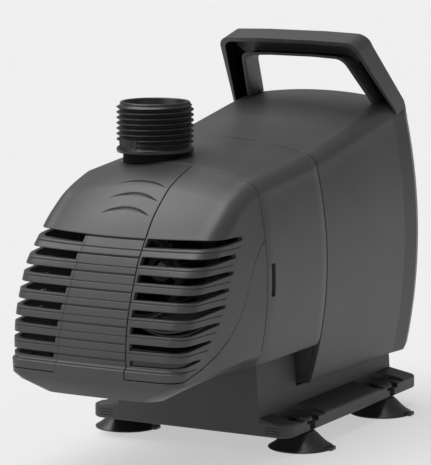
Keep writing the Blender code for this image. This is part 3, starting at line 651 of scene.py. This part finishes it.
# shallow grooves across the centre panel and the slats, and three crescents above them
def engraved(name, boxes, depth):
    rel = make(name, joined(name, boxes))
    boolean(rel, hood_solid("relief_floor", depth, SEAM + 2))
    me = rel.data.copy()
    bpy.data.objects.remove(rel, do_unlink=True)
    return me


strong, faint = [], []
for i in range(8):
    zt = SLOT_TOP1 - SLOT_PITCH * i
    h = 3.4 - 0.09 * i
    strong.append(box_mesh("line", (-SLOT_X0[i] - 1.0, -130, zt - 0.75), (15.9, -70, zt - 0.05)))
    faint.append(box_mesh("line", (-60, -130, zt - h - 1.15), (60, SLOT_Y_END[i] - 2.0, zt - h - 0.8)))
arcs = []
for ym, tilt in ((-57.4, 0.6), (-65.2, 0.2), (-72.6, 0.0)):
    pts = []
    for k in range(19):
        u = -1 + 2 * k / 18
        pts.append((-0.6 + 11.6 * u, ym - 2.0 * u * u - tilt * u + 1.0 * (1 - u * u)))
    for k in range(1, 18):
        u = 1 - 2 * k / 18
        pts.append((-0.6 + 11.6 * u, ym - 2.0 * u * u - tilt * u - 0.55 * (1 - u * u)))
    arcs.append(prism_mesh("crescent", pts, "Z", 100, 135))
boolean(hood, engraved("lines_strong", strong, 0.6))
boolean(hood, engraved("lines_faint", faint, 0.28))
boolean(hood, engraved("crescents", arcs, 0.8))
boolean(grilles["left"], engraved("lines_left", strong, 0.6))
for side in ("left", "right"):
    boolean(grilles[side], engraved("lines_" + side, faint, 0.28))
finish(hood, "shell", "strainer_hood", "front_hood")
finish(grilles["left"], "shell", "strainer_hood", "grille_left")
finish(grilles["right"], "shell", "strainer_hood", "grille_right")

# ---------------------------------------------------------------- middle ring and motor shell
ys = [(Y_SEAM1 + GAP / 2, 0.2), (Y_SEAM1 + GAP / 2 + 0.07, 0.06), (Y_SEAM1 + GAP / 2 + 0.25, 0.0)] + [(y, 0.0) for y in np.linspace(-32, 11, 8)] + \
     [(Y_SEAM2 - GAP / 2 - 0.6, 0.0), (Y_SEAM2 - GAP / 2 - 0.18, 0.18), (Y_SEAM2 - GAP / 2, 0.55)]
ring = make("ring_shell", loft_mesh("ring_shell", [section(y, t, SHELF_Z + 0.6 + t) for y, t in ys]))
boolean(ring, loft_mesh("ring_inner", [section(y, WALL, SHELF_Z + 0.6 + WALL) for y in (Y_SEAM1 - 5, -20, 0, Y_SEAM2 + 5)]))
for s in (-1, 1):
    a, b = sorted((s * 40, s * 60))
    boolean(ring, box_mesh("latch_slit", (a, -35.2, 71.8), (b, -31.6, 85.8)))
boolean(ring, lathe_mesh("neck_hole", disc_profile(NECK_OD / 2 + GAP, 110, 140), (NOZ_X, NOZ_Y, 0), "Z", 64))
finish(ring, "shell", "base", "middle_ring")

rear = make("rear_shell", rear_solid("rear_shell", 0.0, Y_SEAM2 + GAP / 2))
boolean(rear, rear_solid("rear_inner", WALL, Y_SEAM2 - 6))
web = make("web", rear_solid("web", 1.2, Y_SEAM2 + GAP / 2))
boolean(web, box_mesh("web_zone", (-80, Y_SEAM2 + GAP / 2 + 0.2, 20), (80, Y_SEAM2 + GAP / 2 + 2.6, 43.0)), "INTERSECT")
boolean(rear, web.data.copy(), "UNION")
bpy.data.objects.remove(web, do_unlink=True)
plate_out = [(-33, 36), (33, 36), (36, 40), (36, 122), (33, 126), (-33, 126), (-36, 122), (-36, 40)]
boolean(rear, prism_mesh("cover_opening", plate_out, "Y", 100, 130))
for sx in (-1, 1):
    for z0, z1 in ((41, 50), (112, 121)):
        a, b = sorted((sx * 30.0, sx * 39.5))
        boolean(rear, box_mesh("cover_lug", (a, 104.2, z0), (b, 111.3, z1)), "UNION")
        a, b = sorted((sx * 36.4, sx * 39.2))
        boolean(rear, box_mesh("lug_root", (a, 108.0, z0 + 0.5), (b, 113.4, z1 - 0.5)), "UNION")
finish(rear, "shell", "base", "motor_shell", sharp=20)
y_band = (Y_SEAM2 + GAP / 2 + (Y_REAR - 9.0 - Y_SEAM2 - GAP / 2) * 8 / 9 + Y_SHIFT) * MM
for e in rear.data.edges:
    v0, v1 = (rear.data.vertices[k].co for k in e.vertices)
    if abs(v0.y - y_band) < 2e-4 and abs(v1.y - y_band) < 2e-4 and min(abs(v0.x), abs(v1.x)) > 0.038:
        e.use_edge_sharp = True

# rear cover: plate with cooling ribs, screw holes and the inlet hole
GL = (0, 0, 52.0)
cov = make("cover_plate", prism_mesh("cover_plate", [(x * (1 - GAP / 36), 81 + (z - 81) * (1 - GAP / 45)) for x, z in plate_out], "Y", 111.6, 114.2))
boolean(cov, joined("ribs", [box_mesh("rib", (-24, 113.4, z), (24, 116, z + 1.6), 0.3) for z in np.arange(68, 108, 4.4)]))
boolean(cov, lathe_mesh("inlet_hole", disc_profile(7.3, 90, 130), GL, "Y", 48))
for sx, sz in ((-33, 116.5), (33, 116.5), (-33, 45.5), (33, 45.5)):
    boolean(cov, lathe_mesh("screw_hole", disc_profile(1.9, 90, 130), (sx, 0, sz), "Y", 20))
finish(cov, "shell", "base", "rear_cover")

# ---------------------------------------------------------------- carrying handle
OUT = round_frame(44.6, 126.0, 35.8, 170.2, 6.0, 14)
INN = round_frame(35.3, 126.0, 26.2, 162.0, 5.0, 14)
handle = make("handle", leaning_frame("handle", OUT, INN, 0.0, 13.0))
CH_O = round_frame(40.9, 137.0, 33.7, 168.1, 5.0, 14)
CH_I = round_frame(34.2, 137.0, 27.4, 163.2, 5.0, 14)
boolean(handle, leaning_frame("handle_channel", CH_O, CH_I, -1.0, 10.5))
boolean(handle, box_mesh("handle_floor", (-80, 60, 100), (80, 140, 131.5)))
boolean(handle, prism_mesh("handle_back", [(107.4, 141.6), (110.6, 129.0), (140.0, 129.0), (140.0, 141.6)], "X", -80, 80))
boolean(handle, box_mesh("handle_side", (41.9, 60, 100), (80, 140, 139.6)))
boolean(handle, box_mesh("handle_side", (-80, 60, 100), (-41.9, 140, 139.6)))
boolean(handle, box_mesh("handle_half", (-80, 40, 100), (0, 160, 200)))
FLARE = 0.0
boolean(handle, rear_solid("handle_seat", -GAP - 0.1, Y_SEAM2 + GAP / 2))
bm = bmesh.new()
bm.from_mesh(handle.data)
bmesh.ops.symmetrize(bm, input=bm.verts[:] + bm.edges[:] + bm.faces[:], direction="X", dist=1e-6)
bm.to_mesh(handle.data)
bm.free()
finish(handle, "shell", "base", "carry_handle", extra="dark")
# painted shade: the channel's inner faces take the near-black painted-shade material to stand for the shadow inside the
# channel
for poly in handle.data.polygons:
    c = np.array(poly.center) / MM
    c[1] -= Y_SHIFT
    d = c[1] - lean(c[2])
    x, z = abs(c[0]), c[2]
    f = (z - 137.0) / (168.1 - 137.0)
    xo = 40.9 + (33.7 - 40.9) * f
    xi = 34.2 + (27.4 - 34.2) * (z - 137.0) / (163.2 - 137.0)
    inside = (x < xo + 0.15 and z < 168.3) and (x > xi - 0.15 or z > 163.0)
    poly.material_index = 1 if (inside and 0.2 < d < 10.9) else 0

# ---------------------------------------------------------------- outlet with a true helical thread
def nozzle_mesh():
    steps = 144
    zt0 = NOZ_Z0 + 3.0
    z_out = list(np.linspace(zt0, NOZ_Z1 - 0.7, 132))
    cols = []
    crest, root = THREAD_OD / 2, THREAD_ROOT / 2
    for k in range(steps):
        a = 2 * math.pi * k / steps
        deg = math.degrees(a) % 360
        col = [(15.9, NOZ_Z0), (crest - 0.35, NOZ_Z0 + 0.08), (crest, NOZ_Z0 + 0.5), (crest, NOZ_Z0 + 1.7), (crest - 0.3, NOZ_Z0 + 2.0)]
        # short grip ribs low on two sides
        rib = 0.0
        for c0 in (250.0, 70.0):
            u = abs((deg - c0 + 180) % 360 - 180)
            if u < 21:
                rib = 1.0
        for z in z_out:
            ph = ((z - zt0) / THREAD_PITCH - a / (2 * math.pi)) % 1.0
            tri = 1 - abs(2 * ph - 1)
            tri = min(1.0, max(0.0, tri * 1.25 - 0.08))
            fade = smooth01((z - zt0) / 1.6) * smooth01((NOZ_Z1 - 0.7 - z) / 1.6)
            r = root + (crest - root) * tri * fade
            if rib and z < zt0 + 3.2:
                w = 0.5 + 0.5 * math.cos(math.radians(deg) * 52)
                r = max(r, root + 0.55) * 0 + (crest - 0.15 - 0.8 * w)
            col.append((r, z))
        col += [(root - 0.25, NOZ_Z1 - 0.15), (root - 0.6, NOZ_Z1), (NOZ_BORE / 2 + 0.35, NOZ_Z1), (NOZ_BORE / 2, NOZ_Z1 - 0.35),
                (NOZ_BORE / 2, NOZ_Z0 + 5.4), (NOZ_BORE / 2 - 1.0, NOZ_Z0 + 4.4), (6.6, NOZ_Z0 + 2.6), (6.6, 117.0), (NECK_ID / 2 - GAP, 117.0), (NECK_ID / 2 - GAP, NOZ_Z0)]
        cols.append([(NOZ_X + r * math.cos(a), NOZ_Y + r * math.sin(a), z) for r, z in col])
    m = len(cols[0])
    verts = [q for c in cols for q in c]
    faces = []
    for k in range(steps):
        k2 = (k + 1) % steps
        for j in range(m):
            j2 = (j + 1) % m
            faces.append([k * m + j, k2 * m + j, k2 * m + j2, k * m + j2])
    return mesh_of("outlet", verts, faces)


out = make("outlet", nozzle_mesh())
skirt = make("skirt", lathe_mesh("skirt", ring_profile(12.0, 13.8, 122.0, NOZ_Z0 + 0.6), (NOZ_X, NOZ_Y, 0), "Z", 96))
boolean(skirt, loft_mesh("under_ring", [section(y, -0.35, 60) for y in (Y_SEAM1 - 0.6, -30, -20, -10, 5)]))
boolean(skirt, hood_solid("under_hood", -0.35, SEAM + 0.5))
boolean(out, skirt.data.copy(), "UNION")
bpy.data.objects.remove(skirt, do_unlink=True)
finish(out, "fitting", "outlet_fitting", "outlet_nozzle", sharp=50, extra="dark")
# painted shade: the skirt faces below the collar take the near-black painted-shade material to stand for the shadow
# under the outlet
for poly in out.data.polygons:
    x, y, z = (c / MM for c in poly.center)
    r = math.hypot(x - NOZ_X, y - Y_SHIFT - NOZ_Y)
    poly.material_index = 1 if z < NOZ_Z0 + 0.02 and r > 11.5 else 0

# ---------------------------------------------------------------- pump chamber and intake
ch = make("chamber", lathe_mesh("chamber", disc_profile(29.0, -60.0 + INNER, -38.0 + INNER), (0, 0, AX_Z), "Y", 96))
boolean(ch, lathe_mesh("neck", disc_profile(NECK_OD / 2, AX_Z, NOZ_Z0 - 1.8), (NOZ_X, NOZ_Y, 0), "Z", 64), "UNION")
boolean(ch, lathe_mesh("chamber_clear", disc_profile(25.8, -70.0 + INNER, -40.5 + INNER), (0, 0, AX_Z), "Y", 90))
boolean(ch, lathe_mesh("neck_bore", disc_profile(NECK_ID / 2, AX_Z + 4, 140), (NOZ_X, NOZ_Y, 0), "Z", 60))
boolean(ch, lathe_mesh("shaft_opening", disc_profile(8.5, -50 + INNER, -30 + INNER), (0, 0, AX_Z), "Y", 48))
finish(ch, "chamber", "base", "pump_chamber")


def gear(r0, r1, n, y0, y1, name):
    poly = []
    for k in range(n):
        for f, r in ((0.0, r0), (0.22, r0), (0.36, r1), (0.86, r1)):
            a = 2 * math.pi * (k + f) / n
            poly.append((r * math.cos(a), AX_Z + r * math.sin(a)))
    return prism_mesh(name, poly, "Y", y0 + INNER, y1 + INNER)


it = make("intake", gear(19.5, 20.95, 40, -83.6, -64.4, "intake"))
boolean(it, lathe_mesh("flange", [(0, -64.6 + INNER), (28.0, -64.6 + INNER), (28.6, -64.0 + INNER), (28.6, -60.3 + INNER), (0, -60.3 + INNER)], (0, 0, AX_Z), "Y", 80), "UNION")
boolean(it, lathe_mesh("nose", [(0, -84.0 + INNER), (18.6, -84.0 + INNER), (19.3, -83.4 + INNER), (19.3, -63.0 + INNER), (0, -63.0 + INNER)], (0, 0, AX_Z), "Y", 80), "UNION")
boolean(it, lathe_mesh("bore", disc_profile(17.2, -90 + INNER, -40 + INNER), (0, 0, AX_Z), "Y", 80))
for k in range(3):
    a = math.pi / 2 + k * 2 * math.pi / 3
    c, s_ = math.cos(a), math.sin(a)
    w = 1.1
    poly = [(c * 4.8 - s_ * w, AX_Z + s_ * 4.8 + c * w), (c * 4.8 + s_ * w, AX_Z + s_ * 4.8 - c * w),
            (c * 18.2 + s_ * w, AX_Z + s_ * 18.2 - c * w), (c * 18.2 - s_ * w, AX_Z + s_ * 18.2 + c * w)]
    boolean(it, prism_mesh("spoke", poly, "Y", -65.6 + INNER, -62.0 + INNER), "UNION")
boolean(it, lathe_mesh("hub", [(3.2, -66.0 + INNER), (5.8, -66.4 + INNER), (6.6, -65.8 + INNER), (6.6, -61.0 + INNER), (3.2, -61.0 + INNER)], (0, 0, AX_Z), "Y", 40), "UNION")
finish(it, "chamber", "base", "intake_cover")

# ---------------------------------------------------------------- impeller with curved vanes
im = make("wheel", lathe_mesh("wheel", [(2.9, -57.5), (5.4, -57.5), (6.0, -56.9), (7.0, -46.5), (23.5, -45.5), (24, -45.0), (24, -43.9), (23.5, -43.4), (7.2, -43.0), (7.2, -33.9), (6.7, -33.4), (2.9, -33.4)],
                                (0, INNER, AX_Z), "Y", 72))
for k in range(6):
    line = [(5.2 + u * 18.4, k * math.pi / 3 + 0.75 * u) for u in np.linspace(0, 1, 12)]
    poly = [(r * math.cos(a - 0.9 / r), AX_Z + r * math.sin(a - 0.9 / r)) for r, a in line]
    poly += [(r * math.cos(a + 0.9 / r), AX_Z + r * math.sin(a + 0.9 / r)) for r, a in line[::-1]]
    boolean(im, prism_mesh("vane", poly, "Y", -56.5 + INNER, -44.6 + INNER), "UNION")
finish(im, "wheel", "rotor", "impeller")
finish(make("magnet", lathe_mesh("magnet", [(2.9, -32.8), (12.8, -32.8), (13.4, -32.2), (13.4, 0.4), (12.8, 1.0), (2.9, 1.0)], (0, INNER, AX_Z), "Y", 72)), "magnet", "rotor", "rotor_magnet")

# ---------------------------------------------------------------- other round pieces, turned finely
for name, node, slot, prof, n in (
        ("shaft", "rotor_shaft", "shaft", [(0, -65.4), (2.1, -65.4), (2.5, -65.0), (2.5, 5.6), (2.1, 6.0), (0, 6.0)], 40),
        ("bush_front", "front_bearing", "shaft", ring_profile(2.8, 5.2, -60.7, -58.4), 40),
        ("bush_rear", "rear_bearing", "shaft", ring_profile(2.8, 5.0, 2.0, 6.0), 40),
        ("can", "rotor_can", "chamber", [(14.6, -37.4), (36.2, -37.4), (36.6, -37.0), (36.6, -35.4), (36.2, -35.0), (15.8, -35.0), (15.8, 7.6), (15.2, 8.2), (0, 8.2), (0, 6.6), (14.6, 6.6)], 80),
        ("case", "motor_case", "chamber", [(34.9, -34.6), (37.2, -34.6), (37.2, 43.0), (36.6, 45.0), (35.2, 46.6), (33.6, 47.0), (0, 47.0), (0, 44.4), (33.4, 44.4), (34.9, 42.9)], 80)):
    finish(make(name, lathe_mesh(name, prof, (0, INNER, AX_Z), "Y", n)), slot, "base", node)


def torus_fine(name, R, r, centre, axis, body, node):
    finish(make(name, torus_mesh(name, R, r, centre, axis, 96, 14)), "seal", body, node, sharp=80)


torus_fine("ring_outlet", 9.5, 0.6, (NOZ_X, NOZ_Y, NOZ_Z0 - 0.9), "Z", "base", "outlet_seal")
torus_fine("ring_chamber", 30.3, 0.7, (0, -59.75 + INNER, AX_Z), "Y", "base", "chamber_seal")

# stacked laminations and wound coils
lam = [(16.4, -26.0)]
y = -26.0
while y < -2.4:
    lam += [(34.6, y), (34.6, y + 0.7), (34.35, y + 0.85), (34.35, y + 0.95)]
    y += 1.1
lam += [(34.6, y), (34.6, -2.0), (16.4, -2.0)]
st = make("core", lathe_mesh("core", lam, (0, INNER, AX_Z), "Y", 72))
for k in range(6):
    a = k * math.pi / 3
    boolean(st, lathe_mesh("winding_slot", disc_profile(3.6, -30, 4), (math.cos(a) * 25.0, INNER, AX_Z + math.sin(a) * 25.0), "Y", 28))
finish(st, "steel", "base", "stator_core")


def winding(name, node, y0, y1):
    prof = []
    for y in np.arange(y0 + 0.5, y1 - 0.4, 0.8):
        prof += [(31.1, y - 0.35), (31.5, y), (31.1, y + 0.35)]
    prof += [(29.5, y1), (19.0, y1)]
    for y in np.arange(y1 - 0.5, y0 + 0.4, -0.8):
        prof += [(17.8, y + 0.35), (17.4, y), (17.8, y - 0.35)]
    prof += [(19.0, y0), (29.5, y0)]
    finish(make(name, lathe_mesh(name, prof, (0, INNER, AX_Z), "Y", 72)), "winding", "base", node, sharp=60)


winding("coil_front", "winding_front", -33.2, -26.4)
winding("coil_rear", "winding_rear", -1.6, 6.0)

# ---------------------------------------------------------------- stand
def rounded(hx, y0, y1, r, n=8):
    pts = []
    for cx, cy, a0 in ((hx - r, y0 + r, -math.pi / 2), (hx - r, y1 - r, 0), (-hx + r, y1 - r, math.pi / 2), (-hx + r, y0 + r, math.pi)):
        pts += [(cx + r * math.cos(a0 + k * math.pi / 2 / n), cy + r * math.sin(a0 + k * math.pi / 2 / n)) for k in range(n + 1)]
    return pts


def slab(levels):
    return loft_mesh("slab", [[(x, y, z) for x, y in rounded(hx, y0, y1, r)] for hx, y0, y1, r, z in levels])


F0, F1 = FLANGE_Y0, FLANGE_Y1
base = make("stand_body", slab([(FLANGE_X - 0.5, F0 + 0.5, F1 - 0.5, 5.6, FLANGE_Z0), (FLANGE_X, F0, F1, 6.0, FLANGE_Z0 + 0.5), (FLANGE_X, F0, F1, 6.0, FLANGE_Z1 - 0.6),
                                (FLANGE_X - 0.6, F0 + 0.2, F1 - 0.6, 5.6, FLANGE_Z1), (PED_X + 1.5, F0 + 0.4, F1 - 1.2, 2.4, FLANGE_Z1 + 1.9), (PED_X - 2, F0 + 1.0, F1 - 3, 2.0, FLANGE_Z1 + 2.3)]))
for cx in (-CUP_X, CUP_X):
    for cy in CUP_Y:
        boolean(base, lathe_mesh("foot_recess", [(0, 13.1), (13.0, 13.1), (13.4, 13.4), (13.8, 22), (0, 22)], (cx, cy, 0), "Z", 64))
boolean(base, loft_mesh("pedestal", [[(x, y, z) for x, y in ((-hx, F0 + d), (hx, F0 + d), (hx, F1 - 1 - d), (-hx, F1 - 1 - d))] for hx, z, d in ((PED_X, 10.0, 0.0), (PED_X - 1.0, LEDGE_Z, 0.0))]), "UNION")
boolean(base, loft_mesh("cradle", [[(x, y, z) for x, y in ((-hx, F0 + 0.01), (hx, F0 + 0.01), (hx, y1), (-hx, y1))] for hx, z, y1 in ((PED_X - 0.72, 20.0, 13.6), (PED_X - 2.27, SHELF_Z, 10.6))]), "UNION")
boolean(base, loft_mesh("cradle_back", [[(-x, 7.0, z), (x, 7.0, z), (x, 16.6, z), (-x, 16.6, z)] for x, z in ((PED_X - 2.2, 20.0), (PED_X - 3.7, SHELF_Z - 0.2))]), "UNION")
boolean(base, box_mesh("stand_hollow", (-PED_X + 3.4, F0 + 3, -1), (PED_X - 3.4, F1 - 5, LEDGE_Z - 2.8)))
boolean(base, box_mesh("cradle_hollow", (-PED_X + 6, F0 + 3, 10), (PED_X - 6, 7.5, SHELF_Z - 2.6)))
for cx in (-CUP_X, CUP_X):
    for cy in CUP_Y:
        s = 1 if cx > 0 else -1
        boolean(base, lathe_mesh("foot_pocket", disc_profile(8.0, 11.4, 20), (cx, cy, 0), "Z", 44))
        boolean(base, lathe_mesh("foot_hole", disc_profile(3.4, 1, 21), (cx, cy, 0), "Z", 32))
        a, b = sorted((cx + s * 0.05, cx + s * 12))
        boolean(base, box_mesh("foot_slot", (a, cy - 2.55, 2), (b, cy + 2.55, 23)))
# fine layered grooves round the flange edge corners
boolean(base, joined("edge_lines", [box_mesh("line", (38, F0 - 3, z), (60, F0 + 0.35, z + 0.35)) for z in (9.6, 10.8, 12.0)] + [box_mesh("line", (-60, F0 - 3, z), (-38, F0 + 0.35, z + 0.35)) for z in (9.6, 10.8, 12.0)]))
finish(base, "stand", "base", "stand")

# ---------------------------------------------------------------- suction feet
cup_prof = [(0, 5.8), (4.4, 5.6), (8.0, 4.0), (11.0, 1.8), (12.6, 0.0), (CUP_R - 0.15, 0.0), (CUP_R, 0.15), (CUP_R, 0.45), (CUP_R - 0.15, 0.62), (12.6, 1.5), (11.0, 2.7), (9.2, 4.4), (7.6, 6.1), (6.4, 7.1),
            (6.0, 7.5), (3.3, 7.6), (3.0, 7.8), (3.0, 11.8), (4.6, 11.8), (4.9, 12.1), (4.9, 13.2), (4.4, 13.7), (0, 13.8)]
for name, node, cx, cy, tab in (("cup_front_right", "foot_front_right", CUP_X, CUP_Y[0], 1), ("cup_front_left", "foot_front_left", -CUP_X, CUP_Y[0], 1),
                                ("cup_rear_right", "foot_rear_right", CUP_X, CUP_Y[1], 1), ("cup_rear_left", "foot_rear_left", -CUP_X, CUP_Y[1], -1)):
    cup = make(name, lathe_mesh(name, cup_prof, (cx, cy, 0), "Z", 80))
    a, b = sorted((cx + tab * 12.8, cx + tab * 16.1))
    boolean(cup, box_mesh("tab", (a, cy - 2.3, 0.15), (b, cy + 2.3, 1.9), 0.45, 3), "UNION")
    finish(cup, "soft", "base", node, sharp=40)

# ---------------------------------------------------------------- cable inlet and screws
finish(make("gland", lathe_mesh("gland", [(4.6, 107.0), (9.1, 107.0), (9.4, 107.3), (9.4, 111.3), (7.0, 111.3), (7.0, 123.3), (6.7, 123.6), (4.9, 123.6), (4.6, 123.3)], GL, "Y", 48)), "fitting", "base", "inlet_body")
finish(make("gland_seal", lathe_mesh("gland_seal", [(3.2, 109.0), (4.3, 109.0), (4.3, 122.3), (4.0, 122.6), (3.5, 122.6), (3.2, 122.3)], GL, "Y", 40)), "seal", "base", "inlet_seal")
nut = make("gland_nut", gear(0, 0, 3, 0, 1, "tmp"))
bpy.data.objects.remove(nut, do_unlink=True)
poly = []
for k in range(24):
    for f, r in ((0.0, 10.2), (0.3, 10.2), (0.45, 10.8), (0.85, 10.8)):
        a = 2 * math.pi * (k + f) / 24
        poly.append((r * math.cos(a), GL[2] + r * math.sin(a)))
nut = make("gland_nut", prism_mesh("gland_nut", poly, "Y", 114.6, 123.0))
boolean(nut, lathe_mesh("nut_face", [(0, 120), (9.4, 120), (9.4, 123.2), (9.0, 123.6), (0, 123.6)], GL, "Y", 48), "UNION")
boolean(nut, lathe_mesh("nut_bore", disc_profile(7.3, 100, 130), GL, "Y", 48))
finish(nut, "fitting", "base", "inlet_nut")
for i, (sx, sz) in enumerate(((-33, 116.5), (33, 116.5), (-33, 45.5), (33, 45.5))):
    sc = make("screw_%d" % (i + 1), lathe_mesh("screw", [(0, 105.6), (1.5, 105.6), (1.5, 114.5), (2.8, 114.5), (3.0, 114.7), (3.0, 115.3), (2.6, 115.9), (1.6, 116.3), (0, 116.3)], (sx, 0, sz), "Y", 32))
    for w, h in ((0.35, 1.7), (1.7, 0.35)):
        boolean(sc, box_mesh("cross", (sx - w, 115.3, sz - h), (sx + w, 117, sz + h)))
    finish(sc, "steel", "base", "cover_screw_%d" % (i + 1))

# carried-over CAD nodes, if any is still showing
for n, o in frame["nodes"].items():
    if not o.hide_render:
        sl = [s["material_slot"] for s in frame["record"]["subparts"] if s["node"] == n][0]
        o.data.materials.clear()
        o.data.materials.append(M[sl])

# ---------------------------------------------------------------- stage, light and camera
def floor_material():
    m = bpy.data.materials.new("pale_floor")
    m.use_nodes = True
    nt = m.node_tree
    b = nt.nodes["Principled BSDF"]
    n = nt.nodes.new("ShaderNodeTexNoise")
    n.inputs["Scale"].default_value = 3.0
    r = nt.nodes.new("ShaderNodeValToRGB")
    r.color_ramp.elements[0].color = (0.30, 0.30, 0.30, 1)
    r.color_ramp.elements[1].color = (0.31, 0.31, 0.31, 1)
    nt.links.new(n.outputs["Fac"], r.inputs["Fac"])
    nt.links.new(r.outputs["Color"], b.inputs["Base Color"])
    b.inputs["Roughness"].default_value = 0.9
    b.inputs["Specular IOR Level"].default_value = 0.1
    b.inputs["Emission Color"].default_value = (1, 1, 1, 1)
    b.inputs["Emission Strength"].default_value = 0.50
    return m


bm = bmesh.new()
bmesh.ops.create_grid(bm, x_segments=8, y_segments=8, size=14.0)
me = bpy.data.meshes.new("floor")
bm.to_mesh(me)
bm.free()
fl = make("floor", me)
fl.location = (0, 0, -0.0002)
me.materials.append(floor_material())

world = bpy.data.worlds.new("studio")
bpy.context.scene.world = world
world.use_nodes = True
wt = world.node_tree
lit = wt.nodes["Background"]
lit.inputs["Color"].default_value = (1, 1, 1, 1)
lit.inputs["Strength"].default_value = 0.25
seen = wt.nodes.new("ShaderNodeBackground")
seen.inputs["Color"].default_value = (1, 1, 1, 1)
seen.inputs["Strength"].default_value = 0.87
path = wt.nodes.new("ShaderNodeLightPath")
mix = wt.nodes.new("ShaderNodeMixShader")
wt.links.new(path.outputs["Is Camera Ray"], mix.inputs["Fac"])
wt.links.new(lit.outputs["Background"], mix.inputs[1])
wt.links.new(seen.outputs["Background"], mix.inputs[2])
wt.links.new(mix.outputs["Shader"], wt.nodes["World Output"].inputs["Surface"])
bpy.context.scene.view_settings.view_transform = "Standard"


def sun(name, towards, power, spread):
    l = bpy.data.lights.new(name, "SUN")
    l.energy = power
    l.angle = math.radians(spread)
    o = bpy.data.objects.new(name, l)
    bpy.context.scene.collection.objects.link(o)
    o.location = Vector(towards)
    o.rotation_euler = (-Vector(towards)).to_track_quat("-Z", "Y").to_euler()
    return o


sun("key", (-0.35, -0.05, 0.93), 2.9, 60)
sun("fill", (1.0, -0.5, 0.3), 0.26, 60)
sun("front_left", (-0.55, -0.9, 0.4), 0.55, 50)

az, pitch, focal = math.radians(28.7437), math.radians(8.6631), 2900.0
cam = bpy.data.cameras.new("camera")
cam.sensor_width = 36.0
cam.lens = focal / 465.0 * 36.0
cam.clip_start = 0.05
cam.clip_end = 60.0
co = bpy.data.objects.new("camera", cam)
bpy.context.scene.collection.objects.link(co)
fwd = Vector((-math.sin(az) * math.cos(pitch), math.cos(az) * math.cos(pitch), -math.sin(pitch)))
right = Vector((math.cos(az), math.sin(az), 0))
up = right.cross(fwd)
C = Vector((604.10, -1098.84 + Y_SHIFT, 282.09)) * MM
co.matrix_world = Matrix(((right.x, up.x, -fwd.x, C.x), (right.y, up.y, -fwd.y, C.y), (right.z, up.z, -fwd.z, C.z), (0, 0, 0, 1)))
bpy.context.scene.camera = co
